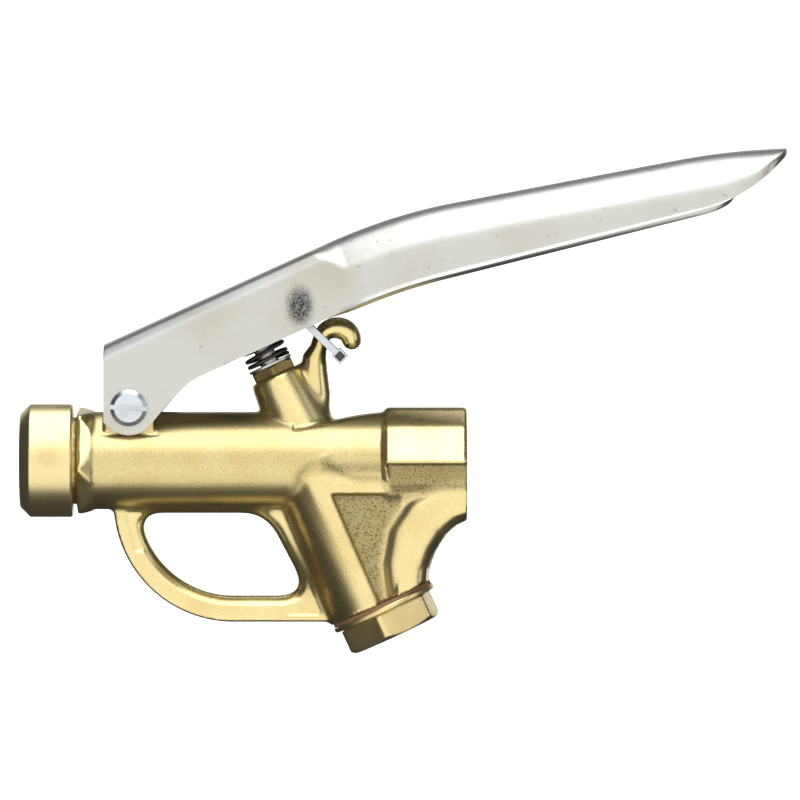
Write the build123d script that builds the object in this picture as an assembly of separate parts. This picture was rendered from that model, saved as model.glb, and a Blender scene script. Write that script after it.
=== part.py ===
"""Trigger-lever fire hose nozzle: brass body, poppet valve, pressed lever and keeper link.

The main run lies along X. The origin is the centre of the inlet socket's end face,
+X points out of the inlet to the hose, -X to the jet, and +Z to the lever.
The valve stands in the XZ plane, tilted back from the vertical. Heights along it
are counted from the point where its axis crosses the main run, positive upwards.
"""

import math
import os

from build123d import *

# --- clearances ---------------------------------------------------------------------
RUNNING_GAP = 0.05        # radial, between a shaft and the hole it turns or slides in
THREAD_GAP = 0.05         # radial, between a screwed-in piece and its socket
SIDE_GAP = 0.10           # between faces that turn past each other
FREE_GAP = 0.30           # between pieces that must never touch
SPRING_END_GAP = 0.05     # between a spring's end coil and what it bears on
EDGE_BREAK = 0.4          # small chamfer on a turned edge

# --- main run -----------------------------------------------------------------------
TUBE_R = 14.5
TUBE_BORE_R = 9.5
RUN_LENGTH = 134.0        # inlet face to the front of the outlet ring
OUTLET_BORE_STOP = 97.0   # length of the outlet bore, from the ring's front

INLET_THREAD_R = 12.06    # G 3/4 female, minor radius
INLET_THREAD_DEPTH = 15.0
INLET_HEX_AF = 2 * TUBE_R + 3.0
INLET_HEX_LENGTH = 25.2
INLET_HEX_EDGE = 2.4
INLET_THROAT_R = 8.0
INLET_DROP_R = 6.3        # the passage down to the valve chamber
INLET_DROP_GAP = 0.2      # between the thread's inner end and the side of that passage
INLET_DROP_DEPTH = 30.0

# --- outlet -------------------------------------------------------------------------
RING_LENGTH = 15.8
RING_R = 16.95
RING_CHAMFER = 3.0
RING_LIP = 3.0
RING_MOUTH_R = 8.6
RING_TO_HEX = 1.5
OUTLET_HEX_AF = 2 * TUBE_R + 1.0
OUTLET_HEX_LENGTH = 4.6
OUTLET_HEX_TURN = 8.0
SPIGOT_R = 13.0           # M26 male thread
JET_WASHER_THICK = 1.5
JET_FLANGE = 4.5
JET_NOSE = 2.0
JET_R = 12.4
JET_EXIT_R = 5.0

# --- valve axis ---------------------------------------------------------------------
VALVE_X = -45.5
VALVE_TILT = 25.0
BOSS_RISE = 13.9          # boss top above the tube's own radius, along the valve
BOSS_TOP_R = 7.9
BOSS_FOOT_R = 11.6
BOSS_EDGE = 0.9
CHAMBER_TOP_R = 14.8
CHAMBER_FOOT_R = 16.5
CHAMBER_DEPTH = 46.9      # from the main run's axis to the chamber's end face
CHAMBER_BORE_R = 11.6
CHAMBER_ROOF = 16.5       # depth of the chamber's upper face
VALVE_PASSAGE_R = 6.8

SEAT_R = 9.5
SEAT_LENGTH = 6.0
SEAT_LIP = 0.8
SEAT_BORE_R = 6.5
SEAT_LIP_WIDTH = 1.4

# --- stem, poppet and gland ---------------------------------------------------------
STEM_R = 3.0
STEM_THREAD_R = 2.5
STEM_DOME_R = 6.0
GLAND_R = 4.6
GLAND_DEPTH = 8.0
GLAND_SHANK = 3.0
GLAND_HEX_AF = 12.6
GLAND_HEX_HEIGHT = 3.0
PACKING_RINGS = 3
CAP_GAP = 0.02            # radial, between the spring cap and the stem
PACKING_GAP = 0.1         # between one packing ring and the next
SPRING_SEAT_THICK = 0.8
CAP_THICK = 1.4
CAP_BELOW_NOSE = 1.9      # the cap's upper face below the stem's nose
CLIP_THICK = 0.6
CLIP_R = 4.8
CLIP_MOUTH = 3.4
POPPET_SEAL_THICK = 2.5
POPPET_SEAL_R = 9.3
POPPET_R = 9.8
POPPET_THICK = 3.5
POPPET_BEVEL = 2.0
POPPET_NUT_AF = 8.0
POPPET_NUT_HEIGHT = 3.0
STEM_TAIL = 0.7           # thread showing below the poppet nut

RETURN_SPRING_R = 6.75    # outer radius
RETURN_WIRE = 1.2
RETURN_PITCH = 2.6
SPRING_SEAT_R = RETURN_SPRING_R + 0.15
CLOSING_SPRING_R = 7.6
CLOSING_WIRE = 1.3
CLOSING_PITCH = 3.4

# --- bottom plug --------------------------------------------------------------------
PLUG_SPIGOT = 10.0
PLUG_LEAD = 0.8           # chamfer where the plug enters the chamber
GASKET_THICK = 1.0
PLUG_FLANGE_R = 16.3
PLUG_FLANGE = 1.7
PLUG_HEX_AF = 27.0
PLUG_HEX_HEIGHT = 8.0
PLUG_HEX_TURN = 20.0
PLUG_POCKET_R = 8.6
PLUG_FLOOR = 3.0          # plug material left under the closing spring's pocket

# --- lever and its pivot ------------------------------------------------------------
PIVOT_FROM_HEX = 15.6     # pivot axis behind the front of the outlet hexagon
PIVOT_RISE = 1.55         # pivot axis above the top of the tube
EAR_R = 8.2
EAR_HEEL_ANGLE = math.radians(36.87)   # below level, where the lever's heel leaves the ear
LUG_R = 7.4
LUG_WASHER_R = LUG_R - 0.5
LEVER_SHEET = 1.8
LEVER_EDGE = 5.0
LEVER_PRESS = 9.0         # degrees from rest to fully open
LEVER_TIP_ROUND = 10.0
LEVER_BEND_R = 60.0
WASHER_THICK = 0.5
BUSH_WALL = 1.5
PIVOT_SHAFT_R = 3.0
PIVOT_THREAD_R = 2.5
PIVOT_HEAD_R = 5.5
PIVOT_HEAD_HEIGHT = 2.4
PIVOT_CROWN = (1.2, 1.08)    # how far the head's edge is cut back, across and along
PIVOT_SLOT_TURN = 3.0
SCREW_TAIL = 0.6             # thread showing past the pivot nut
PIVOT_SLOT = 1.4
PIVOT_SLOT_DEPTH = 1.2
LOCK_WASHER_THICK = 0.8
PIVOT_NUT_AF = 8.0
PIVOT_NUT_HEIGHT = 4.0

# The lever's side outline, in X and Z from the pivot.
LEVER_BACK = (-8.2, 18.6)
LEVER_CREST = (77.9, 57.65)
LEVER_FLAT = (175.1, 76.3)
LEVER_TIP = (195.9, 77.8)
LEVER_NOSE = (191.0, 69.8)
LEVER_CHIN = (181.5, 63.2)
LEVER_BELLY = (171.3, 59.15)
LEVER_KNEE = (80.1, 35.85)
LEVER_HEEL = (18.6, 8.15)

# --- hook on the boss, and the keeper that hangs from the lever ----------------------
# Places in X and Z from where the lever's lower edge passes over the valve's foot.
HOOK_HEAD = (8.0, -3.62)
KEEPER_PIN = (-6.5, 3.93)
KEEPER_BAR = (7.4, -9.52)

HOOK_HALF = 4.0
HOOK_HEAD_R = 6.4
HOOK_THROAT_R = 3.3
HOOK_THROAT = (0.6, -5.1)    # from the head's centre
HOOK_LIP_R = 3.35
HOOK_LIP = (4.25, -1.0)      # from the head's centre
HOOK_BACK = [(-6.4, 0.0), (-9.4, -4.5), (-10.8, -10.5), (-12.4, -18.0)]
HOOK_FRONT = [(-5.0, -19.7), (-3.8, -15.3), (-5.0, -7.4), (-4.3, -4.4), (2.1, 0.0)]
HOOK_FOOT = [(2.0, -3.0), (3.5, -2.5)]    # from the valve's foot and the top of the tube
KEEPER_PIN_R = 1.5
KEEPER_BAR_SIDE = 2.1
KEEPER_STRIP = 2.2
KEEPER_THICK = 1.4
KEEPER_EYE_R = 2.7
KEEPER_END = 3.57
KEEPER_BAR_END = 0.6

# --- finger loop --------------------------------------------------------------------
LOOP_HALF = 4.6
LOOP_EDGE = 2.4
LOOP_R = 36.0
LOOP_CENTRE_X = VALVE_X - 24.5
LOOP_BOTTOM = -48.3
LOOP_BAR = 7.8
LOOP_ROOF = -TUBE_R - 1.1
LOOP_BACK_TOP_X = VALVE_X - 14.9
LOOP_BACK_FOOT_X = VALVE_X - 1.8
LOOP_BACK_TOP_R = 11.0    # corner radii of the opening
LOOP_FRONT_TOP_R = 4.5
LOOP_BACK_FOOT_R = 6.0

# --- elbow between the inlet and the chamber ----------------------------------------
ELBOW_HALF = 13.2
ELBOW_EDGE = 6.0
ELBOW_R = 20.1
ELBOW_CENTRE = (9.3, -35.85)
ELBOW_DROP = 18.2
ELBOW_ROOT = (-14.0, -4.0)   # end of the web inside the chamber's wall, from the arc's foot

# --- worked out from the above ------------------------------------------------------
TILT = math.radians(VALVE_TILT)
RING_BACK_X = RING_LENGTH - RUN_LENGTH
OUTLET_HEX_X = RING_BACK_X + RING_TO_HEX
JET_BACK_X = RING_LIP + JET_FLANGE - RUN_LENGTH
SPIGOT_FRONT_X = JET_BACK_X + JET_WASHER_THICK

PIVOT_X = OUTLET_HEX_X + PIVOT_FROM_HEX
PIVOT_Z = TUBE_R + PIVOT_RISE
EAR_FOOT_Z = PIVOT_Z - EAR_R
CHANNEL_HALF = math.sqrt(TUBE_R**2 - EAR_FOOT_Z**2) + FREE_GAP + SIDE_GAP
LEVER_HALF = CHANNEL_HALF + LEVER_SHEET
LUG_HALF = CHANNEL_HALF - SIDE_GAP - WASHER_THICK
HEAD_SEAT_Y = LEVER_HALF + SIDE_GAP
LEVER_RISE = math.atan2(LEVER_CREST[1] - LEVER_BACK[1], LEVER_CREST[0] - LEVER_BACK[0])
FLANK_SLOPE = (LEVER_KNEE[1] - LEVER_HEEL[1]) / (LEVER_KNEE[0] - LEVER_HEEL[0])
FLANK_Z = PIVOT_Z + LEVER_HEEL[1] + FLANK_SLOPE * (VALVE_X - PIVOT_X - LEVER_HEEL[0])

BOSS_TOP = TUBE_R + BOSS_RISE
GLAND_TOP = BOSS_TOP + GLAND_HEX_HEIGHT
SPRING_FOOT = GLAND_TOP + SPRING_SEAT_THICK
SEAT_FACE = -CHAMBER_ROOF - SEAT_LIP
PLUG_TOP = -CHAMBER_DEPTH + PLUG_SPIGOT
PLUG_FLANGE_TOP = -CHAMBER_DEPTH - GASKET_THICK
PLUG_FLANGE_FOOT = PLUG_FLANGE_TOP - PLUG_FLANGE
PLUG_FOOT = PLUG_FLANGE_FOOT - PLUG_HEX_HEIGHT
POCKET_FLOOR = PLUG_FOOT + PLUG_FLOOR + PLUG_HEX_HEIGHT


def web_height_over_stem():
    """Height along the valve at which its axis meets the underside of the lever's web."""
    back_x = PIVOT_X + LEVER_BACK[0]
    back_z = PIVOT_Z + LEVER_BACK[1] - LEVER_SHEET / math.cos(LEVER_RISE)
    slope = math.tan(LEVER_RISE)
    gap = back_z + slope * (VALVE_X - back_x)
    return gap / (math.cos(TILT) + slope * math.sin(TILT))


STEM_TOP = web_height_over_stem() - FREE_GAP
CAP_TOP = STEM_TOP - CAP_BELOW_NOSE
CAP_FOOT = CAP_TOP - CAP_THICK
SEAL_FOOT = SEAT_FACE - POPPET_SEAL_THICK
POPPET_FOOT = SEAL_FOOT - POPPET_THICK
POPPET_NUT_FOOT = POPPET_FOOT - POPPET_NUT_HEIGHT

RUN = Plane(origin=(0, 0, 0), x_dir=(0, 1, 0), z_dir=(1, 0, 0))
VALVE = Plane(
    origin=(VALVE_X, 0, 0),
    x_dir=(math.cos(TILT), 0, math.sin(TILT)),
    z_dir=(-math.sin(TILT), 0, math.cos(TILT)),
)
PIVOT = Plane(origin=(PIVOT_X, 0, PIVOT_Z), x_dir=(1, 0, 0), z_dir=(0, 1, 0))
HEAD_AT = (VALVE_X + HOOK_HEAD[0], FLANK_Z + HOOK_HEAD[1])
PIN_AT = (VALVE_X + KEEPER_PIN[0], FLANK_Z + KEEPER_PIN[1])
BAR_AT = (VALVE_X + KEEPER_BAR[0], FLANK_Z + KEEPER_BAR[1])
PIN = Plane(origin=(PIN_AT[0], 0, PIN_AT[1]), x_dir=(1, 0, 0), z_dir=(0, 1, 0))


# --- building blocks ----------------------------------------------------------------
def turned(points, place):
    """A solid of revolution from (radius, height) corners about the place's z axis."""
    corners = [(radius, 0, height) for radius, height in points]
    return place * revolve(make_face(Polyline(*corners, close=True)), Axis.Z, 360)


def drum(radius, low, high, place):
    """A plain cylinder from one height to another along the place's z axis."""
    return turned([(0, low), (radius, low), (radius, high), (0, high)], place)


def sleeve(inner, outer, low, high, place):
    """A plain tube from one height to another along the place's z axis."""
    return turned([(inner, low), (outer, low), (outer, high), (inner, high)], place)


def hexagon(across_flats, low, high, place, turn=0.0):
    """A hexagonal prism, with a corner on the place's x axis before it is turned."""
    corner_radius = across_flats / math.sqrt(3)
    outline = Rot(0, 0, turn) * RegularPolygon(corner_radius, 6)
    return place * Pos(0, 0, low) * extrude(outline, high - low)


def chamfered_hexagon(across_flats, low, high, place, turn=0.0, ends=(True, True)):
    """A hexagonal nut shape whose corners are turned down at the chosen ends."""
    corner_radius = across_flats / math.sqrt(3)
    flat_radius = across_flats / 2
    drop = (corner_radius - flat_radius) * math.tan(math.radians(30)) * 1.6
    foot = low + drop if ends[0] else low
    head = high - drop if ends[1] else high
    envelope = [(0, low), (flat_radius, low), (corner_radius, foot)]
    envelope += [(corner_radius, head), (flat_radius, high), (0, high)]
    if not ends[0]:
        envelope[1] = (corner_radius, low)
    if not ends[1]:
        envelope[4] = (corner_radius, high)
    kept = [p for i, p in enumerate(envelope) if i == 0 or p != envelope[i - 1]]
    return hexagon(across_flats, low, high, place, turn) & turned(kept, place)


def side_plate(face, half_width):
    """A face drawn in X and Z, given the same thickness to both sides of the mid plane."""
    return extrude(Plane.XZ * face, half_width, both=True)


def coil(outer_radius, wire, pitch, low, high, place):
    """A helical spring between two heights along the place's z axis."""
    radius = outer_radius - wire / 2
    start = low + wire / 2 + SPRING_END_GAP
    height = high - low - wire - 2 * SPRING_END_GAP
    turns = round(height / pitch)
    path = Pos(0, 0, start) * Helix(height / turns, height, radius)
    section = Plane(origin=path @ 0, z_dir=path % 0) * Circle(wire / 2)
    return place * sweep(section, path, is_frenet=True)


# --- body ---------------------------------------------------------------------------
def finger_loop():
    """The cast loop under the tube, with its opening for the fingers."""
    centre_z = LOOP_BOTTOM + LOOP_R
    left_x = LOOP_CENTRE_X - LOOP_R
    chamber_foot_x = VALVE_X + CHAMBER_DEPTH * math.sin(TILT)
    outer = make_face(
        [
            Line((LOOP_CENTRE_X, LOOP_BOTTOM), (chamber_foot_x - CHAMBER_FOOT_R, LOOP_BOTTOM)),
            Line((chamber_foot_x - CHAMBER_FOOT_R, LOOP_BOTTOM), (VALVE_X, 0)),
            Line((VALVE_X, 0), (left_x, 0)),
            Line((left_x, 0), (left_x, centre_z)),
            CenterArc((LOOP_CENTRE_X, centre_z), LOOP_R, 180, 90),
        ]
    )
    inner_r = LOOP_R - LOOP_BAR
    inner_foot = centre_z - inner_r
    start = math.degrees(math.asin((centre_z - LOOP_ROOF) / inner_r))
    arc = CenterArc((LOOP_CENTRE_X, centre_z), inner_r, 180 + start, 90 - start)
    opening = make_face(
        [
            arc,
            Line((LOOP_CENTRE_X, inner_foot), (LOOP_BACK_FOOT_X, inner_foot)),
            Line((LOOP_BACK_FOOT_X, inner_foot), (LOOP_BACK_TOP_X, LOOP_ROOF)),
            Line((LOOP_BACK_TOP_X, LOOP_ROOF), arc @ 0),
        ]
    )
    roof = opening.vertices().group_by(Axis.Y)[-1].sort_by(Axis.X)
    opening = fillet(roof[-1], LOOP_BACK_TOP_R)
    roof = opening.vertices().group_by(Axis.Y)[-1].sort_by(Axis.X)
    opening = fillet(roof[0], LOOP_FRONT_TOP_R)
    foot = opening.vertices().group_by(Axis.Y)[0].sort_by(Axis.X)
    opening = fillet(foot[-1], LOOP_BACK_FOOT_R)
    ring = side_plate(outer - opening, LOOP_HALF)
    rim = [
        edge
        for edge in ring.edges()
        if abs(abs(edge.center().Y) - LOOP_HALF) < 0.01
        and edge.center().Z < LOOP_ROOF + 0.1
        and edge.center().X < LOOP_BACK_FOOT_X
    ]
    return fillet(rim, LOOP_EDGE)


def hook():
    """The cane-shaped hook that rises from the boss's flank to hold the keeper."""
    back = [(HEAD_AT[0] + x, HEAD_AT[1] + z) for x, z in HOOK_BACK]
    foot = [(VALVE_X + x, TUBE_R + z) for x, z in HOOK_FOOT]
    front = [(HEAD_AT[0] + x, HEAD_AT[1] + z) for x, z in HOOK_FRONT]
    shank = make_face(Polyline(*back, *foot, *front, close=True))
    head = Pos(*HEAD_AT) * Circle(HOOK_HEAD_R)
    lip = Pos(*HEAD_AT) * Pos(*HOOK_LIP) * Circle(HOOK_LIP_R)
    throat = Pos(*HEAD_AT) * Pos(*HOOK_THROAT) * Circle(HOOK_THROAT_R)
    return side_plate(shank + head + lip - throat, HOOK_HALF)


def elbow():
    """The web of metal that carries the water from the inlet down into the chamber."""
    arc_top_x = ELBOW_CENTRE[0] - math.sqrt(ELBOW_R**2 - (ELBOW_CENTRE[1] + ELBOW_DROP) ** 2)
    end_x = ELBOW_CENTRE[0] - ELBOW_R
    start = (min(arc_top_x, 0.0), -ELBOW_DROP)
    root = (end_x + ELBOW_ROOT[0], ELBOW_CENTRE[1] + ELBOW_ROOT[1])
    angle = math.degrees(math.atan2(start[1] - ELBOW_CENTRE[1], start[0] - ELBOW_CENTRE[0]))
    arc = CenterArc(ELBOW_CENTRE, ELBOW_R, angle, 180 - angle)
    face = make_face(
        [
            Line((0, 0), (0, -ELBOW_DROP)),
            Line((0, -ELBOW_DROP), arc @ 0),
            arc,
            Line(arc @ 1, root),
            Line(root, (VALVE_X, 0)),
            Line((VALVE_X, 0), (0, 0)),
        ]
    )
    block = side_plate(face, ELBOW_HALF)
    rim = [
        edge
        for edge in block.edges()
        if edge.geom_type == GeomType.CIRCLE and abs(abs(edge.center().Y) - ELBOW_HALF) < 0.01
    ]
    return fillet(rim, ELBOW_EDGE)


def valve_body():
    """The cast and machined brass body, all one piece."""
    body = drum(TUBE_R, OUTLET_HEX_X, -INLET_HEX_LENGTH / 2, RUN)
    body += chamfered_hexagon(
        OUTLET_HEX_AF,
        OUTLET_HEX_X,
        OUTLET_HEX_X + OUTLET_HEX_LENGTH,
        RUN,
        turn=OUTLET_HEX_TURN,
    )
    inlet = hexagon(INLET_HEX_AF, -INLET_HEX_LENGTH, 0, RUN)
    body += fillet(inlet.edges().filter_by(Axis.X), INLET_HEX_EDGE)
    body += finger_loop()
    body += elbow()
    chamber = [(0, 0), (CHAMBER_TOP_R, 0), (CHAMBER_FOOT_R, -CHAMBER_DEPTH), (0, -CHAMBER_DEPTH)]
    body += turned(chamber, VALVE)
    boss = turned([(0, 0), (BOSS_FOOT_R, 0), (BOSS_TOP_R, BOSS_TOP), (0, BOSS_TOP)], VALVE)
    body += fillet(boss.edges().group_by(Axis.Z)[-1], BOSS_EDGE)
    body += hook()

    lug_foot = Pos(PIVOT_X, 0, PIVOT_Z / 2) * Box(2 * LUG_R, 2 * LUG_HALF, PIVOT_Z)
    for side in (-1, 1):
        beyond = side * (LUG_HALF + TUBE_R / 2)
        ear_room = Box(2 * (EAR_R + FREE_GAP), TUBE_R, TUBE_R)
        body -= Pos(PIVOT_X, beyond, EAR_FOOT_Z + TUBE_R / 2 - RUNNING_GAP) * ear_room
    body += lug_foot + drum(LUG_R, -LUG_HALF, LUG_HALF, PIVOT)

    body += drum(SPIGOT_R, SPIGOT_FRONT_X, OUTLET_HEX_X, RUN)
    bore_end = OUTLET_BORE_STOP - RUN_LENGTH
    body -= drum(TUBE_BORE_R, SPIGOT_FRONT_X, bore_end, RUN)

    body -= drum(INLET_THREAD_R, -INLET_THREAD_DEPTH, 0, RUN)
    drop_x = -INLET_THREAD_DEPTH - INLET_DROP_GAP - INLET_DROP_R
    body -= drum(INLET_THROAT_R, drop_x, -INLET_THREAD_DEPTH, RUN)
    body -= drum(INLET_DROP_R, -INLET_DROP_DEPTH, 0, Plane(origin=(drop_x, 0, 0)))

    body -= drum(2 * CHAMBER_FOOT_R, -2 * CHAMBER_DEPTH, -CHAMBER_DEPTH, VALVE)
    body -= drum(VALVE_PASSAGE_R, -CHAMBER_ROOF, 0, VALVE)
    body -= drum(SEAT_R, -CHAMBER_ROOF, SEAT_LENGTH - CHAMBER_ROOF, VALVE)
    body -= drum(CHAMBER_BORE_R, -CHAMBER_DEPTH, -CHAMBER_ROOF, VALVE)
    body -= drum(STEM_R + RUNNING_GAP, 0, BOSS_TOP, VALVE)
    body -= drum(GLAND_R, BOSS_TOP - GLAND_DEPTH, BOSS_TOP, VALVE)
    body -= drum(PIVOT_SHAFT_R + RUNNING_GAP + BUSH_WALL, -LUG_HALF, LUG_HALF, PIVOT)
    return body


# --- outlet -------------------------------------------------------------------------
def outlet_ring():
    """The turned ring that screws on the spigot and clamps the jet."""
    front = -RUN_LENGTH
    bore = SPIGOT_R + THREAD_GAP
    return turned(
        [
            (RING_MOUTH_R, front),
            (RING_R - RING_CHAMFER, front),
            (RING_R, front + RING_CHAMFER),
            (RING_R, RING_BACK_X - EDGE_BREAK),
            (RING_R - EDGE_BREAK, RING_BACK_X),
            (bore, RING_BACK_X),
            (bore, front + RING_LIP),
            (RING_MOUTH_R, front + RING_LIP),
        ],
        RUN,
    )


def jet_insert():
    """The jet: a converging bore in a flanged insert behind the ring's lip."""
    shoulder = RING_LIP - RUN_LENGTH
    nose = shoulder - JET_NOSE
    nose_r = RING_MOUTH_R - THREAD_GAP
    return turned(
        [
            (JET_EXIT_R, nose),
            (nose_r, nose),
            (nose_r, shoulder),
            (JET_R, shoulder),
            (JET_R, JET_BACK_X),
            (TUBE_BORE_R, JET_BACK_X),
            (JET_EXIT_R, nose + JET_NOSE),
        ],
        RUN,
    )


def jet_washer():
    """The rubber washer between the jet and the spigot's end."""
    return sleeve(TUBE_BORE_R, JET_R, JET_BACK_X, SPIGOT_FRONT_X, RUN)


# --- valve --------------------------------------------------------------------------
def valve_seat():
    """The screwed-in seat ring above the chamber, with its raised lip."""
    top = SEAT_LENGTH - CHAMBER_ROOF
    lip_r = SEAT_BORE_R + SEAT_LIP_WIDTH
    return turned(
        [
            (SEAT_BORE_R, top),
            (SEAT_R, top),
            (SEAT_R, -CHAMBER_ROOF),
            (lip_r, -CHAMBER_ROOF),
            (SEAT_BORE_R + SEAT_LIP_WIDTH / 2, SEAT_FACE),
            (SEAT_BORE_R, SEAT_FACE),
        ],
        VALVE,
    )


def valve_stem():
    """The stem, from the nose under the lever to the thread below the poppet."""
    groove_foot = CAP_TOP
    groove_top = groove_foot + CLIP_THICK
    tail = POPPET_NUT_FOOT - STEM_TAIL
    stem = turned(
        [
            (0, STEM_TOP),
            (STEM_R, STEM_TOP),
            (STEM_R, groove_top),
            (STEM_THREAD_R, groove_top),
            (STEM_THREAD_R, groove_foot),
            (STEM_R, groove_foot),
            (STEM_R, SEAT_FACE),
            (STEM_THREAD_R, SEAT_FACE),
            (STEM_THREAD_R, tail + EDGE_BREAK),
            (STEM_THREAD_R - EDGE_BREAK, tail),
            (0, tail),
        ],
        VALVE,
    )
    ball = VALVE * Pos(0, 0, STEM_TOP - STEM_DOME_R) * Sphere(STEM_DOME_R)
    shank = drum(STEM_R, tail, STEM_TOP - STEM_DOME_R / 2, VALVE)
    return stem & (ball + shank)


def disc_seal():
    """The rubber face that closes on the seat's lip."""
    return sleeve(STEM_THREAD_R, POPPET_SEAL_R, SEAL_FOOT, SEAT_FACE, VALVE)


def valve_disc():
    """The brass backing disc that carries the rubber face."""
    return turned(
        [
            (STEM_THREAD_R, SEAL_FOOT),
            (POPPET_R, SEAL_FOOT),
            (POPPET_R, SEAL_FOOT - POPPET_THICK / 2),
            (POPPET_R - POPPET_BEVEL, POPPET_FOOT),
            (STEM_THREAD_R, POPPET_FOOT),
        ],
        VALVE,
    )


def disc_nut():
    """The nut that holds the disc and its rubber on the stem."""
    nut = chamfered_hexagon(POPPET_NUT_AF, POPPET_NUT_FOOT, POPPET_FOOT, VALVE, ends=(True, False))
    return nut - drum(STEM_THREAD_R, POPPET_NUT_FOOT, POPPET_FOOT, VALVE)


def spring_cap():
    """The dished washer on the stem that the return spring lifts."""
    return sleeve(STEM_R + CAP_GAP, SPRING_SEAT_R, CAP_FOOT, CAP_TOP, VALVE)


def cap_clip():
    """The open clip in the stem's groove that holds the cap down."""
    ring = sleeve(STEM_THREAD_R, CLIP_R, CAP_TOP, CAP_TOP + CLIP_THICK, VALVE)
    mouth = VALVE * Pos(0, -CLIP_R / 2, CAP_TOP + CLIP_THICK / 2) * Box(CLIP_MOUTH, CLIP_R, 2 * CLIP_THICK)
    return ring - mouth


def gland_nut():
    """The hollow nut that presses the packing round the stem."""
    hole = STEM_R + RUNNING_GAP
    head = chamfered_hexagon(GLAND_HEX_AF, BOSS_TOP, GLAND_TOP, VALVE, turn=30, ends=(False, True))
    shank = drum(GLAND_R, BOSS_TOP - GLAND_SHANK, BOSS_TOP, VALVE)
    return head + shank - drum(hole, BOSS_TOP - GLAND_SHANK, GLAND_TOP, VALVE)


def stem_packing():
    """The stack of packing rings under the gland nut, as one group."""
    low = BOSS_TOP - GLAND_DEPTH
    each = (GLAND_DEPTH - GLAND_SHANK) / PACKING_RINGS
    rings = []
    for index in range(PACKING_RINGS):
        foot = low + index * each
        rings.append(sleeve(STEM_R + RUNNING_GAP, GLAND_R, foot, foot + each - PACKING_GAP, VALVE))
    return Compound(children=rings)


def gland_washer():
    """The washer on the gland nut that the return spring stands on."""
    return sleeve(STEM_R + FREE_GAP, SPRING_SEAT_R, GLAND_TOP, SPRING_FOOT, VALVE)


def return_spring():
    """The spring round the stem that lifts it and the lever."""
    return coil(RETURN_SPRING_R, RETURN_WIRE, RETURN_PITCH, SPRING_FOOT, CAP_FOOT, VALVE)


def closing_spring():
    """The spring in the bottom plug that holds the poppet on its seat."""
    return coil(CLOSING_SPRING_R, CLOSING_WIRE, CLOSING_PITCH, POCKET_FLOOR, POPPET_FOOT, VALVE)


def plug_gasket():
    """The flat gasket between the chamber's end face and the plug's flange."""
    outer = PLUG_FLANGE_R - EDGE_BREAK
    return sleeve(CHAMBER_BORE_R, outer, PLUG_FLANGE_TOP, -CHAMBER_DEPTH, VALVE)


def bottom_plug():
    """The hexagonal plug that closes the chamber and holds the closing spring."""
    spigot_r = CHAMBER_BORE_R - THREAD_GAP
    plug = turned(
        [
            (0, PLUG_FLANGE_FOOT),
            (PLUG_FLANGE_R - EDGE_BREAK, PLUG_FLANGE_FOOT),
            (PLUG_FLANGE_R, PLUG_FLANGE_FOOT + EDGE_BREAK),
            (PLUG_FLANGE_R, PLUG_FLANGE_TOP - EDGE_BREAK),
            (PLUG_FLANGE_R - EDGE_BREAK, PLUG_FLANGE_TOP),
            (spigot_r, PLUG_FLANGE_TOP),
            (spigot_r, PLUG_TOP + PLUG_LEAD),
            (spigot_r - PLUG_LEAD, PLUG_TOP),
            (0, PLUG_TOP),
        ],
        VALVE,
    )
    plug += chamfered_hexagon(
        PLUG_HEX_AF, PLUG_FOOT, PLUG_FLANGE_FOOT, VALVE, turn=PLUG_HEX_TURN, ends=(True, False)
    )
    return plug - drum(PLUG_POCKET_R, POCKET_FLOOR, PLUG_TOP, VALVE)


# --- lever and pivot ----------------------------------------------------------------
def at_pivot(point):
    """A point of the lever's outline, in X and Z of the whole nozzle."""
    return (PIVOT_X + point[0], PIVOT_Z + point[1])


def lever_block(top, lower, half_width, edge_radius, tip_round):
    """A block under the lever's top line: long top edges rounded, tip rounded in plan."""
    face = make_face(Polyline(*top, *lower, close=True))
    bend = face.vertices().sort_by_distance((*top[1], 0))[0]
    block = side_plate(fillet(bend, LEVER_BEND_R), half_width)
    slope = (top[-1][1] - top[0][1]) / (top[-1][0] - top[0][0])
    upper_edges = [
        edge
        for edge in block.edges()
        if abs(abs(edge.center().Y) - half_width) < 0.01
        and edge.center().Z > top[0][1] + slope * (edge.center().X - top[0][0]) + 0.01
    ]
    block = fillet(upper_edges, edge_radius)
    tip_x = top[-1][0]
    length = 2 * (tip_x - top[0][0])
    plan = Pos(tip_x - length / 2, 0) * RectangleRounded(length, 2 * half_width, tip_round)
    return block & extrude(plan, length, both=True)


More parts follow.
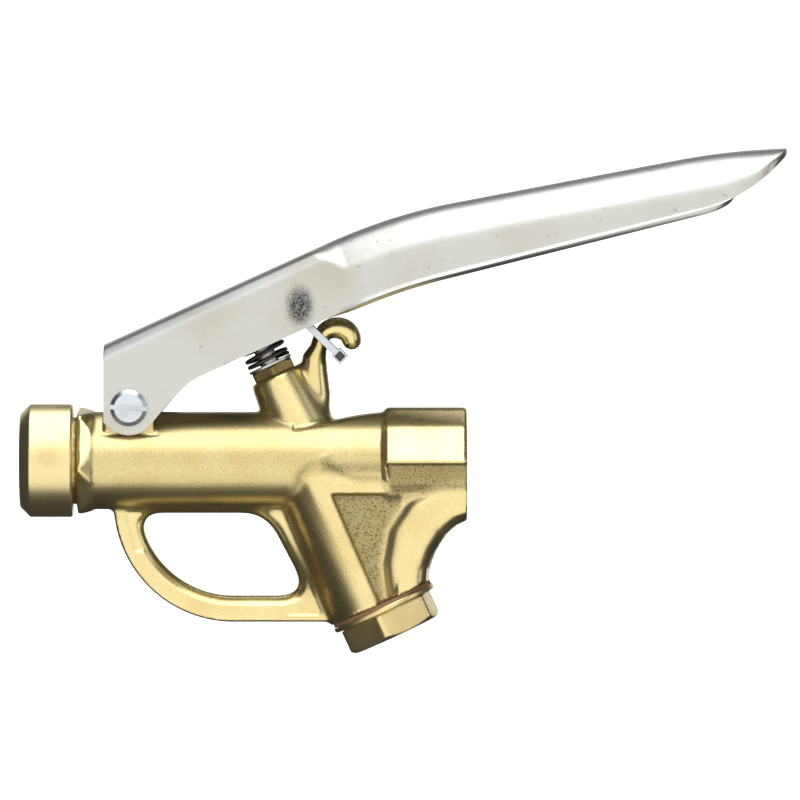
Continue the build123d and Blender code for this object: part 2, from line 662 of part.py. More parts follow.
def lever():
    """The pressed sheet lever: an upturned channel with two ears on the pivot."""
    top = [at_pivot(p) for p in (LEVER_BACK, LEVER_CREST, LEVER_FLAT, LEVER_TIP)]
    lower = [at_pivot(p) for p in (LEVER_NOSE, LEVER_CHIN, LEVER_BELLY, LEVER_KNEE, LEVER_HEEL)]
    heel_end = (EAR_R * math.cos(EAR_HEEL_ANGLE), -EAR_R * math.sin(EAR_HEEL_ANGLE))
    lower += [at_pivot(heel_end), at_pivot((-EAR_R, 0))]
    shell = lever_block(top, lower, LEVER_HALF, LEVER_EDGE, LEVER_TIP_ROUND)
    shell += drum(EAR_R, -LEVER_HALF, LEVER_HALF, PIVOT)

    drop = LEVER_SHEET / math.cos(LEVER_RISE)
    beyond = 4 * EAR_R
    inner = [(x, z - drop) for x, z in top]
    inner[0] = (inner[0][0] - beyond, inner[0][1] - beyond * math.tan(LEVER_RISE))
    inner[-1] = (inner[-1][0] - 2 * LEVER_SHEET, inner[-1][1])
    under = [(inner[-1][0], PIVOT_Z - beyond), (inner[0][0], PIVOT_Z - beyond)]
    inner_edge = LEVER_EDGE - LEVER_SHEET
    shell -= lever_block(inner, under, CHANNEL_HALF, inner_edge, LEVER_TIP_ROUND - LEVER_SHEET)
    shell -= drum(PIVOT_SHAFT_R + RUNNING_GAP, -2 * LEVER_HALF, 2 * LEVER_HALF, PIVOT)
    return shell - drum(KEEPER_PIN_R, -2 * LEVER_HALF, 2 * LEVER_HALF, PIN)


def pivot_bush():
    """The bush pressed into the body's lug, in which the pivot screw sits."""
    bore = PIVOT_SHAFT_R + RUNNING_GAP
    return sleeve(bore, bore + BUSH_WALL, -LUG_HALF, LUG_HALF, PIVOT)


def pivot_washers():
    """The two thin washers between the lug and the lever's ears, as one group."""
    bore = PIVOT_SHAFT_R + RUNNING_GAP
    low = LUG_HALF
    high = LUG_HALF + WASHER_THICK
    return Compound(
        children=[
            sleeve(bore, LUG_WASHER_R, -high, -low, PIVOT),
            sleeve(bore, LUG_WASHER_R, low, high, PIVOT),
        ]
    )


def pivot_screw():
    """The slotted shoulder screw that the lever turns on."""
    end = HEAD_SEAT_Y + LOCK_WASHER_THICK + PIVOT_NUT_HEIGHT + SCREW_TAIL
    top = -HEAD_SEAT_Y - PIVOT_HEAD_HEIGHT
    screw = turned(
        [
            (0, top),
            (PIVOT_HEAD_R - PIVOT_CROWN[0], top),
            (PIVOT_HEAD_R, top + PIVOT_CROWN[1]),
            (PIVOT_HEAD_R, -HEAD_SEAT_Y),
            (PIVOT_SHAFT_R, -HEAD_SEAT_Y),
            (PIVOT_SHAFT_R, HEAD_SEAT_Y),
            (PIVOT_THREAD_R, HEAD_SEAT_Y),
            (PIVOT_THREAD_R, end - EDGE_BREAK),
            (PIVOT_THREAD_R - EDGE_BREAK, end),
            (0, end),
        ],
        PIVOT,
    )
    slot = Box(3 * PIVOT_HEAD_R, 2 * PIVOT_SLOT_DEPTH, PIVOT_SLOT)
    return screw - Pos(PIVOT_X, top, PIVOT_Z) * Rot(0, PIVOT_SLOT_TURN, 0) * slot


def pivot_lock_washer():
    """The lock washer under the pivot nut."""
    high = HEAD_SEAT_Y + LOCK_WASHER_THICK
    return sleeve(PIVOT_THREAD_R, PIVOT_SHAFT_R + BUSH_WALL, HEAD_SEAT_Y, high, PIVOT)


def pivot_nut():
    """The nut on the pivot screw's far end."""
    low = HEAD_SEAT_Y + LOCK_WASHER_THICK
    high = low + PIVOT_NUT_HEIGHT
    nut = chamfered_hexagon(PIVOT_NUT_AF, low, high, PIVOT, ends=(False, True))
    return nut - drum(PIVOT_THREAD_R, low, high, PIVOT)


# --- keeper -------------------------------------------------------------------------
def keeper_pin():
    """The pin across the lever that the keeper hangs from, riveted flush."""
    return drum(KEEPER_PIN_R, -LEVER_HALF, LEVER_HALF, PIN)


def keeper_links():
    """The two flat links of the keeper, one on each side of the hook, as one group."""
    inner = HOOK_HALF + 2 * FREE_GAP
    along = Vector(BAR_AT[0] - PIN_AT[0], BAR_AT[1] - PIN_AT[1])
    angle = math.degrees(math.atan2(along.Y, along.X))
    middle = ((PIN_AT[0] + BAR_AT[0]) / 2, (PIN_AT[1] + BAR_AT[1]) / 2)
    strip = Pos(*middle) * Rot(0, 0, angle) * Rectangle(along.length, KEEPER_STRIP)
    end = Pos(*BAR_AT) * Rot(0, 0, angle) * Rectangle(KEEPER_END, KEEPER_END)
    face = strip + end + Pos(*PIN_AT) * Circle(KEEPER_EYE_R)
    face -= Pos(*PIN_AT) * Circle(KEEPER_PIN_R + RUNNING_GAP)
    face -= Pos(*BAR_AT) * Rot(0, 0, angle) * Rectangle(KEEPER_BAR_SIDE, KEEPER_BAR_SIDE)
    near = Plane.XZ.offset(inner) * face
    far = Plane.XZ.offset(-inner) * face
    return Compound(children=[extrude(near, KEEPER_THICK), extrude(far, -KEEPER_THICK)])


def keeper_bar():
    """The square bar that joins the links under the hook's head."""
    along = Vector(BAR_AT[0] - PIN_AT[0], BAR_AT[1] - PIN_AT[1])
    angle = math.degrees(math.atan2(along.Y, along.X))
    half = HOOK_HALF + 2 * FREE_GAP + KEEPER_THICK + KEEPER_BAR_END
    face = Pos(*BAR_AT) * Rot(0, 0, angle) * Rectangle(KEEPER_BAR_SIDE, KEEPER_BAR_SIDE)
    return side_plate(face, half)


PIECES = [
    valve_body,
    outlet_ring,
    jet_insert,
    jet_washer,
    valve_seat,
    valve_stem,
    disc_seal,
    valve_disc,
    disc_nut,
    spring_cap,
    cap_clip,
    gland_nut,
    stem_packing,
    gland_washer,
    return_spring,
    closing_spring,
    plug_gasket,
    bottom_plug,
    lever,
    pivot_bush,
    pivot_washers,
    pivot_screw,
    pivot_lock_washer,
    pivot_nut,
    keeper_pin,
    keeper_links,
    keeper_bar,
]

os.makedirs("parts", exist_ok=True)
for make in PIECES:
    export_step(make(), f"parts/{make.__name__}.step")
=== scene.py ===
"""The finished look of the trigger-lever hose nozzle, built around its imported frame.

Shapes are worked out in millimetres in the nozzle's own frame: X along the main run,
positive towards the hose, Z towards the lever and Y across. They are written to
meshes in metres. Each class builds the meshes of one sub-assembly and dresses them.
"""

import logging
import math
from dataclasses import dataclass, field
from enum import Enum
from typing import ClassVar

import bpy
import numpy as np
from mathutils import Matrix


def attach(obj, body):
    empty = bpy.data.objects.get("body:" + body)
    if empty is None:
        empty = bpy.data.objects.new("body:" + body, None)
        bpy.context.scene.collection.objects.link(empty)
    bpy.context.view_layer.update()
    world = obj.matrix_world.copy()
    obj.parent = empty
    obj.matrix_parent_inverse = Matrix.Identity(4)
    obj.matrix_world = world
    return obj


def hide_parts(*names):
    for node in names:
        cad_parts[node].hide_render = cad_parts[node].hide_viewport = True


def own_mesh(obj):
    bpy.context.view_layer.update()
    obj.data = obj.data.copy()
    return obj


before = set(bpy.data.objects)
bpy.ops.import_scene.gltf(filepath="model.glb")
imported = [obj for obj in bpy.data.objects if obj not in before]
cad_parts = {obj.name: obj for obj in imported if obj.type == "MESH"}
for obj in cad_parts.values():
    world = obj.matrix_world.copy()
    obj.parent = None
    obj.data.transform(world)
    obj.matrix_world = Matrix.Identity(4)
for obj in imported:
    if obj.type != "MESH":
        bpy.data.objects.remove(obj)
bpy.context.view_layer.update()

MM = 0.001
LOG = logging.getLogger("nozzle")


class Body(str, Enum):
    """The moving bodies of the frame."""

    NOZZLE = "nozzle_body"
    STEM = "stem"
    LEVER = "lever_arm"
    KEEPER = "keeper"


# --- shader maths -------------------------------------------------------------------
class Value:
    """A shader socket that adds Math nodes when it is used in an expression."""

    def __init__(self, tree: "Shader", socket: bpy.types.NodeSocket) -> None:
        """Wraps a socket of a shader tree."""
        self.tree = tree
        self.socket = socket

    def _math(self, operation: str, *operands: object) -> "Value":
        """Adds one Math node. Returns its result."""
        return self.tree.add("ShaderNodeMath", {"operation": operation}, *operands)

    def __add__(self, other: object) -> "Value":
        """Sum."""
        return self._math("ADD", self, other)

    __radd__ = __add__

    def __mul__(self, other: object) -> "Value":
        """Product."""
        return self._math("MULTIPLY", self, other)

    __rmul__ = __mul__

    def __sub__(self, other: object) -> "Value":
        """Difference."""
        return self._math("SUBTRACT", self, other)

    def __rsub__(self, other: object) -> "Value":
        """Difference, with the socket on the right."""
        return self._math("SUBTRACT", other, self)

    def __truediv__(self, other: object) -> "Value":
        """Quotient."""
        return self._math("DIVIDE", self, other)

    def __pow__(self, other: object) -> "Value":
        """Power."""
        return self._math("POWER", self, other)

    def clamped(self) -> "Value":
        """The value held between 0 and 1."""
        return self.tree.add("ShaderNodeClamp", {}, self)


class Shader:
    """A material's node tree around one Principled shader."""

    def __init__(self, name: str) -> None:
        """Makes an empty material with a Principled shader of that name."""
        self.material = bpy.data.materials.new(name)
        self.material.use_nodes = True
        self.nodes = self.material.node_tree.nodes
        self.links = self.material.node_tree.links
        self.surface = self.nodes["Principled BSDF"]

    def _feed(self, socket: bpy.types.NodeSocket, source: object) -> None:
        """Links a value to a socket, or sets the socket to a plain number or tuple."""
        if isinstance(source, Value):
            self.links.new(source.socket, socket)
        else:
            socket.default_value = source

    def add(self, kind: str, settings: dict, *inputs: object, out: int = 0, **named: object) -> Value:
        """Adds any node.

        Args:
            kind: the node's type.
            settings: properties that are set before anything is linked.
            inputs: values or links for the first sockets, in order, with None to pass one over.
            out: which output to return.
            named: values or links by socket name, with _ for a space.

        Returns:
            The chosen output.
        """
        node = self.nodes.new(kind)
        for key, value in settings.items():
            setattr(node, key, value)
        for index, source in enumerate(inputs):
            if source is not None:
                self._feed(node.inputs[index], source)
        for key, source in named.items():
            self._feed(node.inputs[key.replace("_", " ")], source)
        return Value(self, node.outputs[out])

    def set(self, **named: object) -> None:
        """Feeds the Principled shader's sockets, by name with _ for a space."""
        for key, source in named.items():
            self._feed(self.surface.inputs[key.replace("_", " ")], source)

    def place(self, scale: tuple = (1.0, 1.0, 1.0), turn: tuple = (0.0, 0.0, 0.0)) -> Value:
        """Object coordinates, turned and then stretched by a Mapping node.

        Args:
            scale: stretch along X, Y and Z.
            turn: turn about X, Y and Z, which comes first.

        Returns:
            The place as a vector.
        """
        coords = self.add("ShaderNodeTexCoord", {}, out=3)
        turned = self.add("ShaderNodeMapping", {"vector_type": "POINT"}, coords, Rotation=turn)
        return self.add("ShaderNodeMapping", {"vector_type": "POINT"}, turned, Scale=scale)

    def noise(self, where: Value, scale: float, detail: float = 3.0, rough: float = 0.5) -> Value:
        """Fractal noise from 0 to 1 at a place."""
        return self.add(
            "ShaderNodeTexNoise", {}, Vector=where, Scale=scale, Detail=detail, Roughness=rough
        )

    def attribute(self, name: str) -> Value:
        """A number painted on the piece's own vertices."""
        return self.add("ShaderNodeAttribute", {"attribute_name": name}, out=2)

    def mix(self, factor: object, low: tuple, high: object) -> Value:
        """A colour between two others, through the Mix node's pair of colour sockets."""
        skipped = [None] * 5
        return self.add("ShaderNodeMix", {"data_type": "RGBA"}, factor, *skipped, low, high, out=2)

    def ramp(self, factor: Value, low: float, high: float) -> Value:
        """The part of a value between two limits, spread from 0 to 1."""
        return self.add(
            "ShaderNodeMapRange", {"interpolation_type": "SMOOTHSTEP"}, factor, low, high, 0.0, 1.0
        )

    def bump(self, height: Value, strength: float, distance: float) -> Value:
        """A normal from a height."""
        return self.add("ShaderNodeBump", {}, Strength=strength, Distance=distance, Height=height)


# --- finishes -----------------------------------------------------------------------
Colour = tuple[float, float, float, float]


@dataclass(frozen=True)
class CastBrass:
    """Blasted cast brass: fine grain and dark pits, rougher in its recesses, with painted shade
    darkening its recesses and the blends between features.
    """

    name: str = "cast_brass"
    bright: Colour = (0.84, 0.715, 0.37, 1.0)
    deep: Colour = (0.72, 0.55, 0.22, 1.0)
    pit_and_shade_colour: Colour = (0.13, 0.105, 0.05, 1.0)
    roughness: float = 0.22

    def material(self) -> bpy.types.Material:
        """Returns the material."""
        shader = Shader(self.name)
        where = shader.place()
        cloud = shader.noise(where, 70.0, 4.0)
        grain = shader.noise(where, 1900.0, 3.0, 0.65)
        speck = shader.ramp(grain, 0.50, 0.66)
        skin_and_shade = shader.attribute("skin_and_shade")
        crevice_shade = shader.attribute("crevice_shade")
        tone = (shader.ramp(cloud, 0.35, 0.7) * 0.45 + shader.ramp(grain, 0.4, 0.75) * 0.3).clamped()
        brass = shader.mix(tone, self.bright, self.deep)
        # Dark mix: cast pits from the fine speckle, plus painted shade in the recesses and along the
        # blends between features.
        pits_and_shade = (speck * (0.10 + skin_and_shade * 0.4) + skin_and_shade * 0.52 + crevice_shade * (0.25 + grain * 0.7)).clamped()
        shader.set(
            Base_Color=shader.mix(pits_and_shade, brass, self.pit_and_shade_colour),
            Metallic=1.0,
            Roughness=(self.roughness + skin_and_shade * 0.25 + grain * 0.14 + crevice_shade * 0.15).clamped(),
            Normal=shader.bump(grain * (0.35 + skin_and_shade * 1.8), 0.5, 0.0001),
        )
        return shader.material


@dataclass(frozen=True)
class Turned:
    """Metal turned on a lathe: fine rings about one axis and a few stains."""

    name: str
    colour: Colour
    stain: Colour
    stretch: tuple[float, float, float]
    tilt: float = 0.0
    roughness: float = 0.27
    ring_depth: float = 0.00002

    def material(self) -> bpy.types.Material:
        """Returns the material."""
        shader = Shader(self.name)
        rings = shader.noise(shader.place(self.stretch, (0.0, self.tilt, 0.0)), 1.0, 2.0, 0.6)
        plain = shader.place()
        cloud = shader.ramp(shader.noise(plain, 110.0, 4.0), 0.45, 0.75)
        fleck = shader.ramp(shader.noise(plain, 900.0, 2.0), 0.62, 0.72)
        shader.set(
            Base_Color=shader.mix((cloud * 0.45 + fleck * 0.3).clamped(), self.colour, self.stain),
            Metallic=1.0,
            Roughness=(self.roughness + rings * 0.14 + cloud * 0.08).clamped(),
            Normal=shader.bump(rings, 0.55, self.ring_depth),
        )
        return shader.material


@dataclass(frozen=True)
class NickelPlate:
    """Satin nickel on pressed sheet, with a rubbed smudge where the keeper's pin is riveted."""

    name: str = "nickel_plate"
    colour: Colour = (0.595, 0.60, 0.575, 1.0)
    warm: Colour = (0.53, 0.51, 0.455, 1.0)
    soot: Colour = (0.06, 0.055, 0.05, 1.0)
    roughness: float = 0.30
    smudge_at: tuple[float, float, float] = (-0.050, 0.0, 0.0465)
    smudge_size: float = 0.0058

    def material(self) -> bpy.types.Material:
        """Returns the material."""
        shader = Shader(self.name)
        where = shader.place()
        grain = shader.noise(where, 1300.0, 3.0, 0.6)
        cloud = shader.noise(where, 40.0, 4.0)
        flat = shader.add("ShaderNodeVectorMath", {"operation": "MULTIPLY"}, where, (1.0, 0.0, 0.7))
        centre = (self.smudge_at[0], 0.0, 0.7 * self.smudge_at[2])
        far = shader.add("ShaderNodeVectorMath", {"operation": "DISTANCE"}, flat, centre, out=1)
        near = 1.0 - shader.ramp(far, 0.35 * self.smudge_size, self.smudge_size)
        dots = shader.ramp(shader.noise(where, 1900.0, 6.0, 0.85), 0.40, 0.56)
        smudge = (near * (dots * 0.6 + near * 0.42)).clamped()
        fleck = shader.ramp(shader.noise(where, 420.0, 2.0, 0.5), 0.66, 0.74) * 0.25
        plate = shader.mix(shader.ramp(cloud, 0.4, 0.7), self.colour, self.warm)
        shader.set(
            Base_Color=shader.mix((smudge + fleck).clamped(), plate, self.soot),
            Metallic=1.0,
            Roughness=(self.roughness + grain * 0.12 + smudge * 0.3).clamped(),
            Normal=shader.bump(grain + cloud * 0.4, 0.35, 0.00006),
        )
        return shader.material


@dataclass(frozen=True)
class Plain:
    """A dull or bright stock material with grain at one scale."""

    name: str
    colour: Colour
    mark: Colour
    metallic: float
    roughness: float
    grain_scale: float = 1200.0
    grain_depth: float = 0.00005

    def material(self) -> bpy.types.Material:
        """Returns the material."""
        shader = Shader(self.name)
        where = shader.place()
        grain = shader.noise(where, self.grain_scale, 3.0, 0.6)
        cloud = shader.ramp(shader.noise(where, 150.0, 3.0), 0.45, 0.7)
        shader.set(
            Base_Color=shader.mix((cloud * 0.6 + grain * 0.2).clamped(), self.colour, self.mark),
            Metallic=self.metallic,
            Roughness=(self.roughness + grain * 0.15).clamped(),
            Normal=shader.bump(grain, 0.5, self.grain_depth),
        )
        return shader.material


# --- meshes -------------------------------------------------------------------------
def new_piece(
    name: str,
    points: np.ndarray,
    faces: np.ndarray,
    body: Body,
    material: bpy.types.Material,
    caps: np.ndarray = np.zeros((0, 3), int),
) -> bpy.types.Object:
    """Writes a mesh with outward normals and seats it on a body.

    Args:
        name: the piece's name.
        points: vertices in millimetres, one row each.
        faces: quads or triangles by vertex number.
        body: the body it rides on.
        material: its finish.
        caps: triangles that close it, which turn the same way as the faces.

    Returns:
        The new object, at the origin.
    """
    first, second, third = (points[faces[:, i]] for i in range(3))
    volume = np.einsum("ij,ij->", first, np.cross(second, third))
    if faces.shape[1] == 4:
        fourth = points[faces[:, 3]]
        volume += np.einsum("ij,ij->", first, np.cross(third, fourth))
    if volume < 0:
        faces, caps = faces[:, ::-1], caps[:, ::-1]
    mesh = bpy.data.meshes.new(name)
    mesh.from_pydata((points * MM).tolist(), [], faces.tolist() + caps.tolist())
    mesh.polygons.foreach_set("use_smooth", np.ones(len(mesh.polygons), bool))
    mesh.materials.append(material)
    mesh.update()
    piece = bpy.data.objects.new(name, mesh)
    bpy.context.scene.collection.objects.link(piece)
    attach(piece, body.value)
    LOG.info("%s: %d vertices, %d faces", name, len(points), len(faces))
    return piece


def bevelled(piece: bpy.types.Object, width: float, angle: float, harden: bool) -> None:
    """Breaks a piece's edges that turn by more than an angle.

    Args:
        piece: the piece.
        width: the bevel's width in millimetres.
        angle: the smallest turn that is bevelled, in degrees.
        harden: whether the flats beside the bevel stay flat in shading.
    """
    edge = piece.modifiers.new("edge", "BEVEL")
    edge.width = width * MM
    edge.segments = 2
    edge.limit_method = "ANGLE"
    edge.angle_limit = math.radians(angle)
    edge.harden_normals = harden


def grid_faces(rows: int, columns: int, wrap_rows: bool, wrap_columns: bool) -> np.ndarray:
    """Quads of a grid of vertices in row order.

    Args:
        rows: how many rows of vertices there are.
        columns: how many vertices are in a row.
        wrap_rows: whether the last row joins the first.
        wrap_columns: whether a row's last vertex joins its first.

    Returns:
        Four vertex numbers for each quad.
    """
    row = np.arange(rows if wrap_rows else rows - 1)[:, None]
    column = np.arange(columns if wrap_columns else columns - 1)[None, :]
    next_row = (row + 1) % rows
    next_column = (column + 1) % columns
    corners = [
        row * columns + column,
        row * columns + next_column,
        next_row * columns + next_column,
        next_row * columns + column,
    ]
    return np.stack([np.broadcast_to(c, (len(row), column.shape[1])).ravel() for c in corners], 1)


@dataclass(frozen=True)
class Axis:
    """A line that turned pieces stand on: a base point and two directions at right angles."""

    base: tuple[float, float, float]
    along: tuple[float, float, float]
    across: tuple[float, float, float]

    def points(self, radius: np.ndarray, angle: np.ndarray, height: np.ndarray) -> np.ndarray:
        """Places cylinder coordinates: base + height*along + radius*(cos, sin) across.

        Args:
            radius: distances from the axis.
            angle: turns from the across direction towards along x across.
            height: distances along the axis from its base.

        Returns:
            Points, one row each.
        """
        third = np.cross(self.along, self.across)
        outward = np.cos(angle)[..., None] * self.across + np.sin(angle)[..., None] * third
        place = np.array(self.base) + height[..., None] * np.array(self.along)
        return (place + radius[..., None] * outward).reshape(-1, 3)


def rounded_profile(corners: list[tuple[float, float, float]], steps: int = 4) -> np.ndarray:
    """A closed (radius, height) outline with each corner rounded by its third number.

    Each corner becomes a quadratic curve between the points that lie its rounding away
    along its two sides: p(t) = (1-t)^2 a + 2t(1-t) c + t^2 b.

    Args:
        corners: radius, height and rounding of each corner.
        steps: straight pieces in each rounding.

    Returns:
        The outline's points, one row each.
    """
    points = np.array([c[:2] for c in corners], float)
    before = np.roll(points, 1, 0)
    after = np.roll(points, -1, 0)
    outline = []
    for corner, last, following, size in zip(points, before, after, (c[2] for c in corners)):
        if size <= 0:
            outline.append(corner[None])
            continue
        back = corner + (last - corner) * min(size / np.linalg.norm(last - corner), 0.49)
        ahead = corner + (following - corner) * min(size / np.linalg.norm(following - corner), 0.49)
        t = np.linspace(0, 1, steps + 1)[:, None]
        outline.append((1 - t) ** 2 * back + 2 * t * (1 - t) * corner + t**2 * ahead)
    return np.concatenate(outline)


def turned(axis: Axis, corners: list[tuple[float, float, float]], around: int = 128) -> tuple:
    """A closed ring-shaped solid of revolution.

    Args:
        axis: what it turns about.
        corners: (radius, height, rounding) of the outline, which never meets the axis.
        around: vertices round it.

    Returns:
        Vertices and quads.
    """
    outline = rounded_profile(corners)
    angle = np.linspace(0, 2 * math.pi, around, endpoint=False)[None, :]
    shape = (len(outline), around)
    points = axis.points(
        np.broadcast_to(outline[:, :1], shape),
        np.broadcast_to(angle, shape),
        np.broadcast_to(outline[:, 1:], shape),
    )
    return points, grid_faces(*shape, True, True)


def hexagon_radius(angle: np.ndarray, across_flats: float, sharpness: float) -> np.ndarray:
    """Radius of a hexagon with soft corners: half the flats over the p-norm of three cosines."""
    facets = sum(np.abs(np.cos(angle + k * math.pi / 3)) ** sharpness for k in range(3))
    return across_flats / 2 / facets ** (1 / sharpness)


# --- fields -------------------------------------------------------------------------
Line = tuple[float, float, float]
HALF_ROOT_3 = math.sqrt(3) / 2


def height_on(line: Line, x: np.ndarray) -> np.ndarray:
    """Height at x of a line that is given as (x, z, slope)."""
    return line[1] + (x - line[0]) * line[2]


def soft_min(a: np.ndarray, b: np.ndarray, k: float) -> np.ndarray:
    """The smaller of two distances, blended over k where they are nearly equal."""
    h = np.clip(0.5 + 0.5 * (b - a) / k, 0, 1)
    return b * (1 - h) + a * h - k * h * (1 - h)


def soft_max(a: np.ndarray, b: np.ndarray, k: float) -> np.ndarray:
    """The larger of two distances, blended over k."""
    return -soft_min(-a, -b, k)


def slab(a: np.ndarray, b: np.ndarray, edge: float) -> np.ndarray:
    """Distance to the meeting of two faces whose shared edge is rounded."""
    u, v = a + edge, b + edge
    return np.minimum(np.maximum(u, v), 0) + np.hypot(np.maximum(u, 0), np.maximum(v, 0)) - edge


def polygon_distance(corners: list[tuple[float, float]], x: np.ndarray, z: np.ndarray) -> np.ndarray:
    """Signed distance in a plane to a polygon: the nearest side, negative inside.

    Args:
        corners: the polygon's corners in order.
        x: places along the first direction.
        z: places along the second.

    Returns:
        The distance at each place.
    """
    nearest = np.full(x.shape, np.inf)
    crossings = np.zeros(x.shape, bool)
    for (ax, az), (bx, bz) in zip(corners, corners[1:] + corners[:1]):
        ex, ez = bx - ax, bz - az
        px, pz = x - ax, z - az
        t = np.clip((px * ex + pz * ez) / (ex * ex + ez * ez), 0, 1)
        nearest = np.minimum(nearest, np.hypot(px - t * ex, pz - t * ez))
        spans = (az > z) != (bz > z)
        crossings ^= spans & (x < ax + ex * (z - az) / (ez if ez else 1e-9))
    return np.where(crossings, -nearest, nearest)


def path_distance(
    stops: np.ndarray, widths: np.ndarray, x: np.ndarray, z: np.ndarray
) -> tuple[np.ndarray, np.ndarray]:
    """Distance in a plane to a chain of straight runs, and the width carried along it.

    Args:
        stops: the chain's points.
        widths: the width at each of them.
        x: places along the first direction.
        z: places along the second.

    Returns:
        The distance at each place, and the width at the nearest point of the chain.
    """
    nearest = np.full(x.shape, np.inf)
    width = np.zeros(x.shape)
    for (ax, az), (bx, bz), wa, wb in zip(stops[:-1], stops[1:], widths[:-1], widths[1:]):
        ex, ez = bx - ax, bz - az
        t = np.clip(((x - ax) * ex + (z - az) * ez) / (ex * ex + ez * ez), 0, 1)
        here = np.hypot(x - ax - t * ex, z - az - t * ez)
        width = np.where(here < nearest, wa + t * (wb - wa), width)
        nearest = np.minimum(nearest, here)
    return nearest, width


def surface_net(values: np.ndarray, low: np.ndarray, step: float) -> tuple[np.ndarray, np.ndarray]:
    """The zero surface of a field on a regular grid, as quads.

    Each cell that the surface crosses gets one vertex at the mean of its edge crossings,
    and each crossed grid edge joins the four cells round it.

    Args:
        values: the field, negative inside.
        low: the grid's first point.
        step: the grid's spacing.

    Returns:
        Vertices and quads.
    """
    inside = values < 0
    corners = [(i, j, k) for i in (0, 1) for j in (0, 1) for k in (0, 1)]
    size = np.array(values.shape) - 1

    def shifted(grid: np.ndarray, at: tuple) -> np.ndarray:
        """The grid's values at one corner of every cell."""
        return grid[at[0] : at[0] + size[0], at[1] : at[1] + size[1], at[2] : at[2] + size[2]]

    count = sum(shifted(inside, c).astype(np.int8) for c in corners)
    crossed = (count > 0) & (count < 8)
    cells = np.argwhere(crossed)
    number = np.full(crossed.shape, -1)
    number[crossed] = np.arange(len(cells))
    total = np.zeros((len(cells), 3))
    hits = np.zeros(len(cells))
    for a in corners:
        for axis in range(3):
            if a[axis]:
                continue
            b = tuple(v + (i == axis) for i, v in enumerate(a))
            at_a = values[tuple((cells + a).T)]
            at_b = values[tuple((cells + b).T)]
            cut = (at_a < 0) != (at_b < 0)
            t = np.where(cut, at_a / np.where(cut, at_a - at_b, 1), 0)
            point = np.array(a) + t[:, None] * (np.array(b) - np.array(a))
            total += point * cut[:, None]
            hits += cut
    points = low + (cells + total / hits[:, None]) * step
    quads = []
    for axis in range(3):
        ahead = np.take(inside, range(1, inside.shape[axis]), axis)
        behind = np.take(inside, range(inside.shape[axis] - 1), axis)
        edges = np.argwhere(ahead != behind)
        side = behind[tuple(edges.T)]
        u, v = (axis + 1) % 3, (axis + 2) % 3
        keep = (edges[:, u] > 0) & (edges[:, v] > 0)
        keep &= (edges[:, u] < size[u]) & (edges[:, v] < size[v])
        edges, side = edges[keep], side[keep]
        ring = []
        for du, dv in ((0, 0), (1, 0), (1, 1), (0, 1)):
            near = edges.copy()
            near[:, u] -= du
            near[:, v] -= dv
            ring.append(number[tuple(near.T)])
        quad = np.stack(ring, 1)
        quad[~side] = quad[~side][:, ::-1]
        quads.append(quad)
    return points, np.concatenate(quads)


def sampled(values: np.ndarray, low: np.ndarray, step: float, points: np.ndarray) -> np.ndarray:
    """A field's value at any points, by straight interpolation inside each cell.

    Args:
        values: the field on its grid.
        low: the grid's first point.
        step: the grid's spacing.
        points: where the values are wanted.

    Returns:
        One value for each point.
    """
    where = (points - low) / step
    cell = np.clip(np.floor(where).astype(int), 0, np.array(values.shape) - 2)
    part = where - cell
    result = np.zeros(len(points))
    for i in (0, 1):
        for j in (0, 1):
            for k in (0, 1):
                weight = np.abs(1 - i - part[:, 0])
                weight = weight * np.abs(1 - j - part[:, 1]) * np.abs(1 - k - part[:, 2])
                result += weight * values[cell[:, 0] + i, cell[:, 1] + j, cell[:, 2] + k]
    return result


# --- sub-assemblies -----------------------------------------------------------------
TILT = math.radians(25.0)
VALVE_X = -45.5
MAIN_RUN = Axis((0.0, 0.0, 0.0), (1.0, 0.0, 0.0), (0.0, 1.0, 0.0))
VALVE_AXIS = Axis(
    (VALVE_X, 0.0, 0.0),
    (-math.sin(TILT), 0.0, math.cos(TILT)),
    (math.cos(TILT), 0.0, math.sin(TILT)),
)


@dataclass(frozen=True)
class Place:
    """Where the casting's field is worked out, with the measures that its features share."""

    x: np.ndarray
    y: np.ndarray
    z: np.ndarray
    side: np.ndarray
    run_r: np.ndarray
    height: np.ndarray
    across: np.ndarray
    valve_r: np.ndarray
    flat: dict[str, np.ndarray]


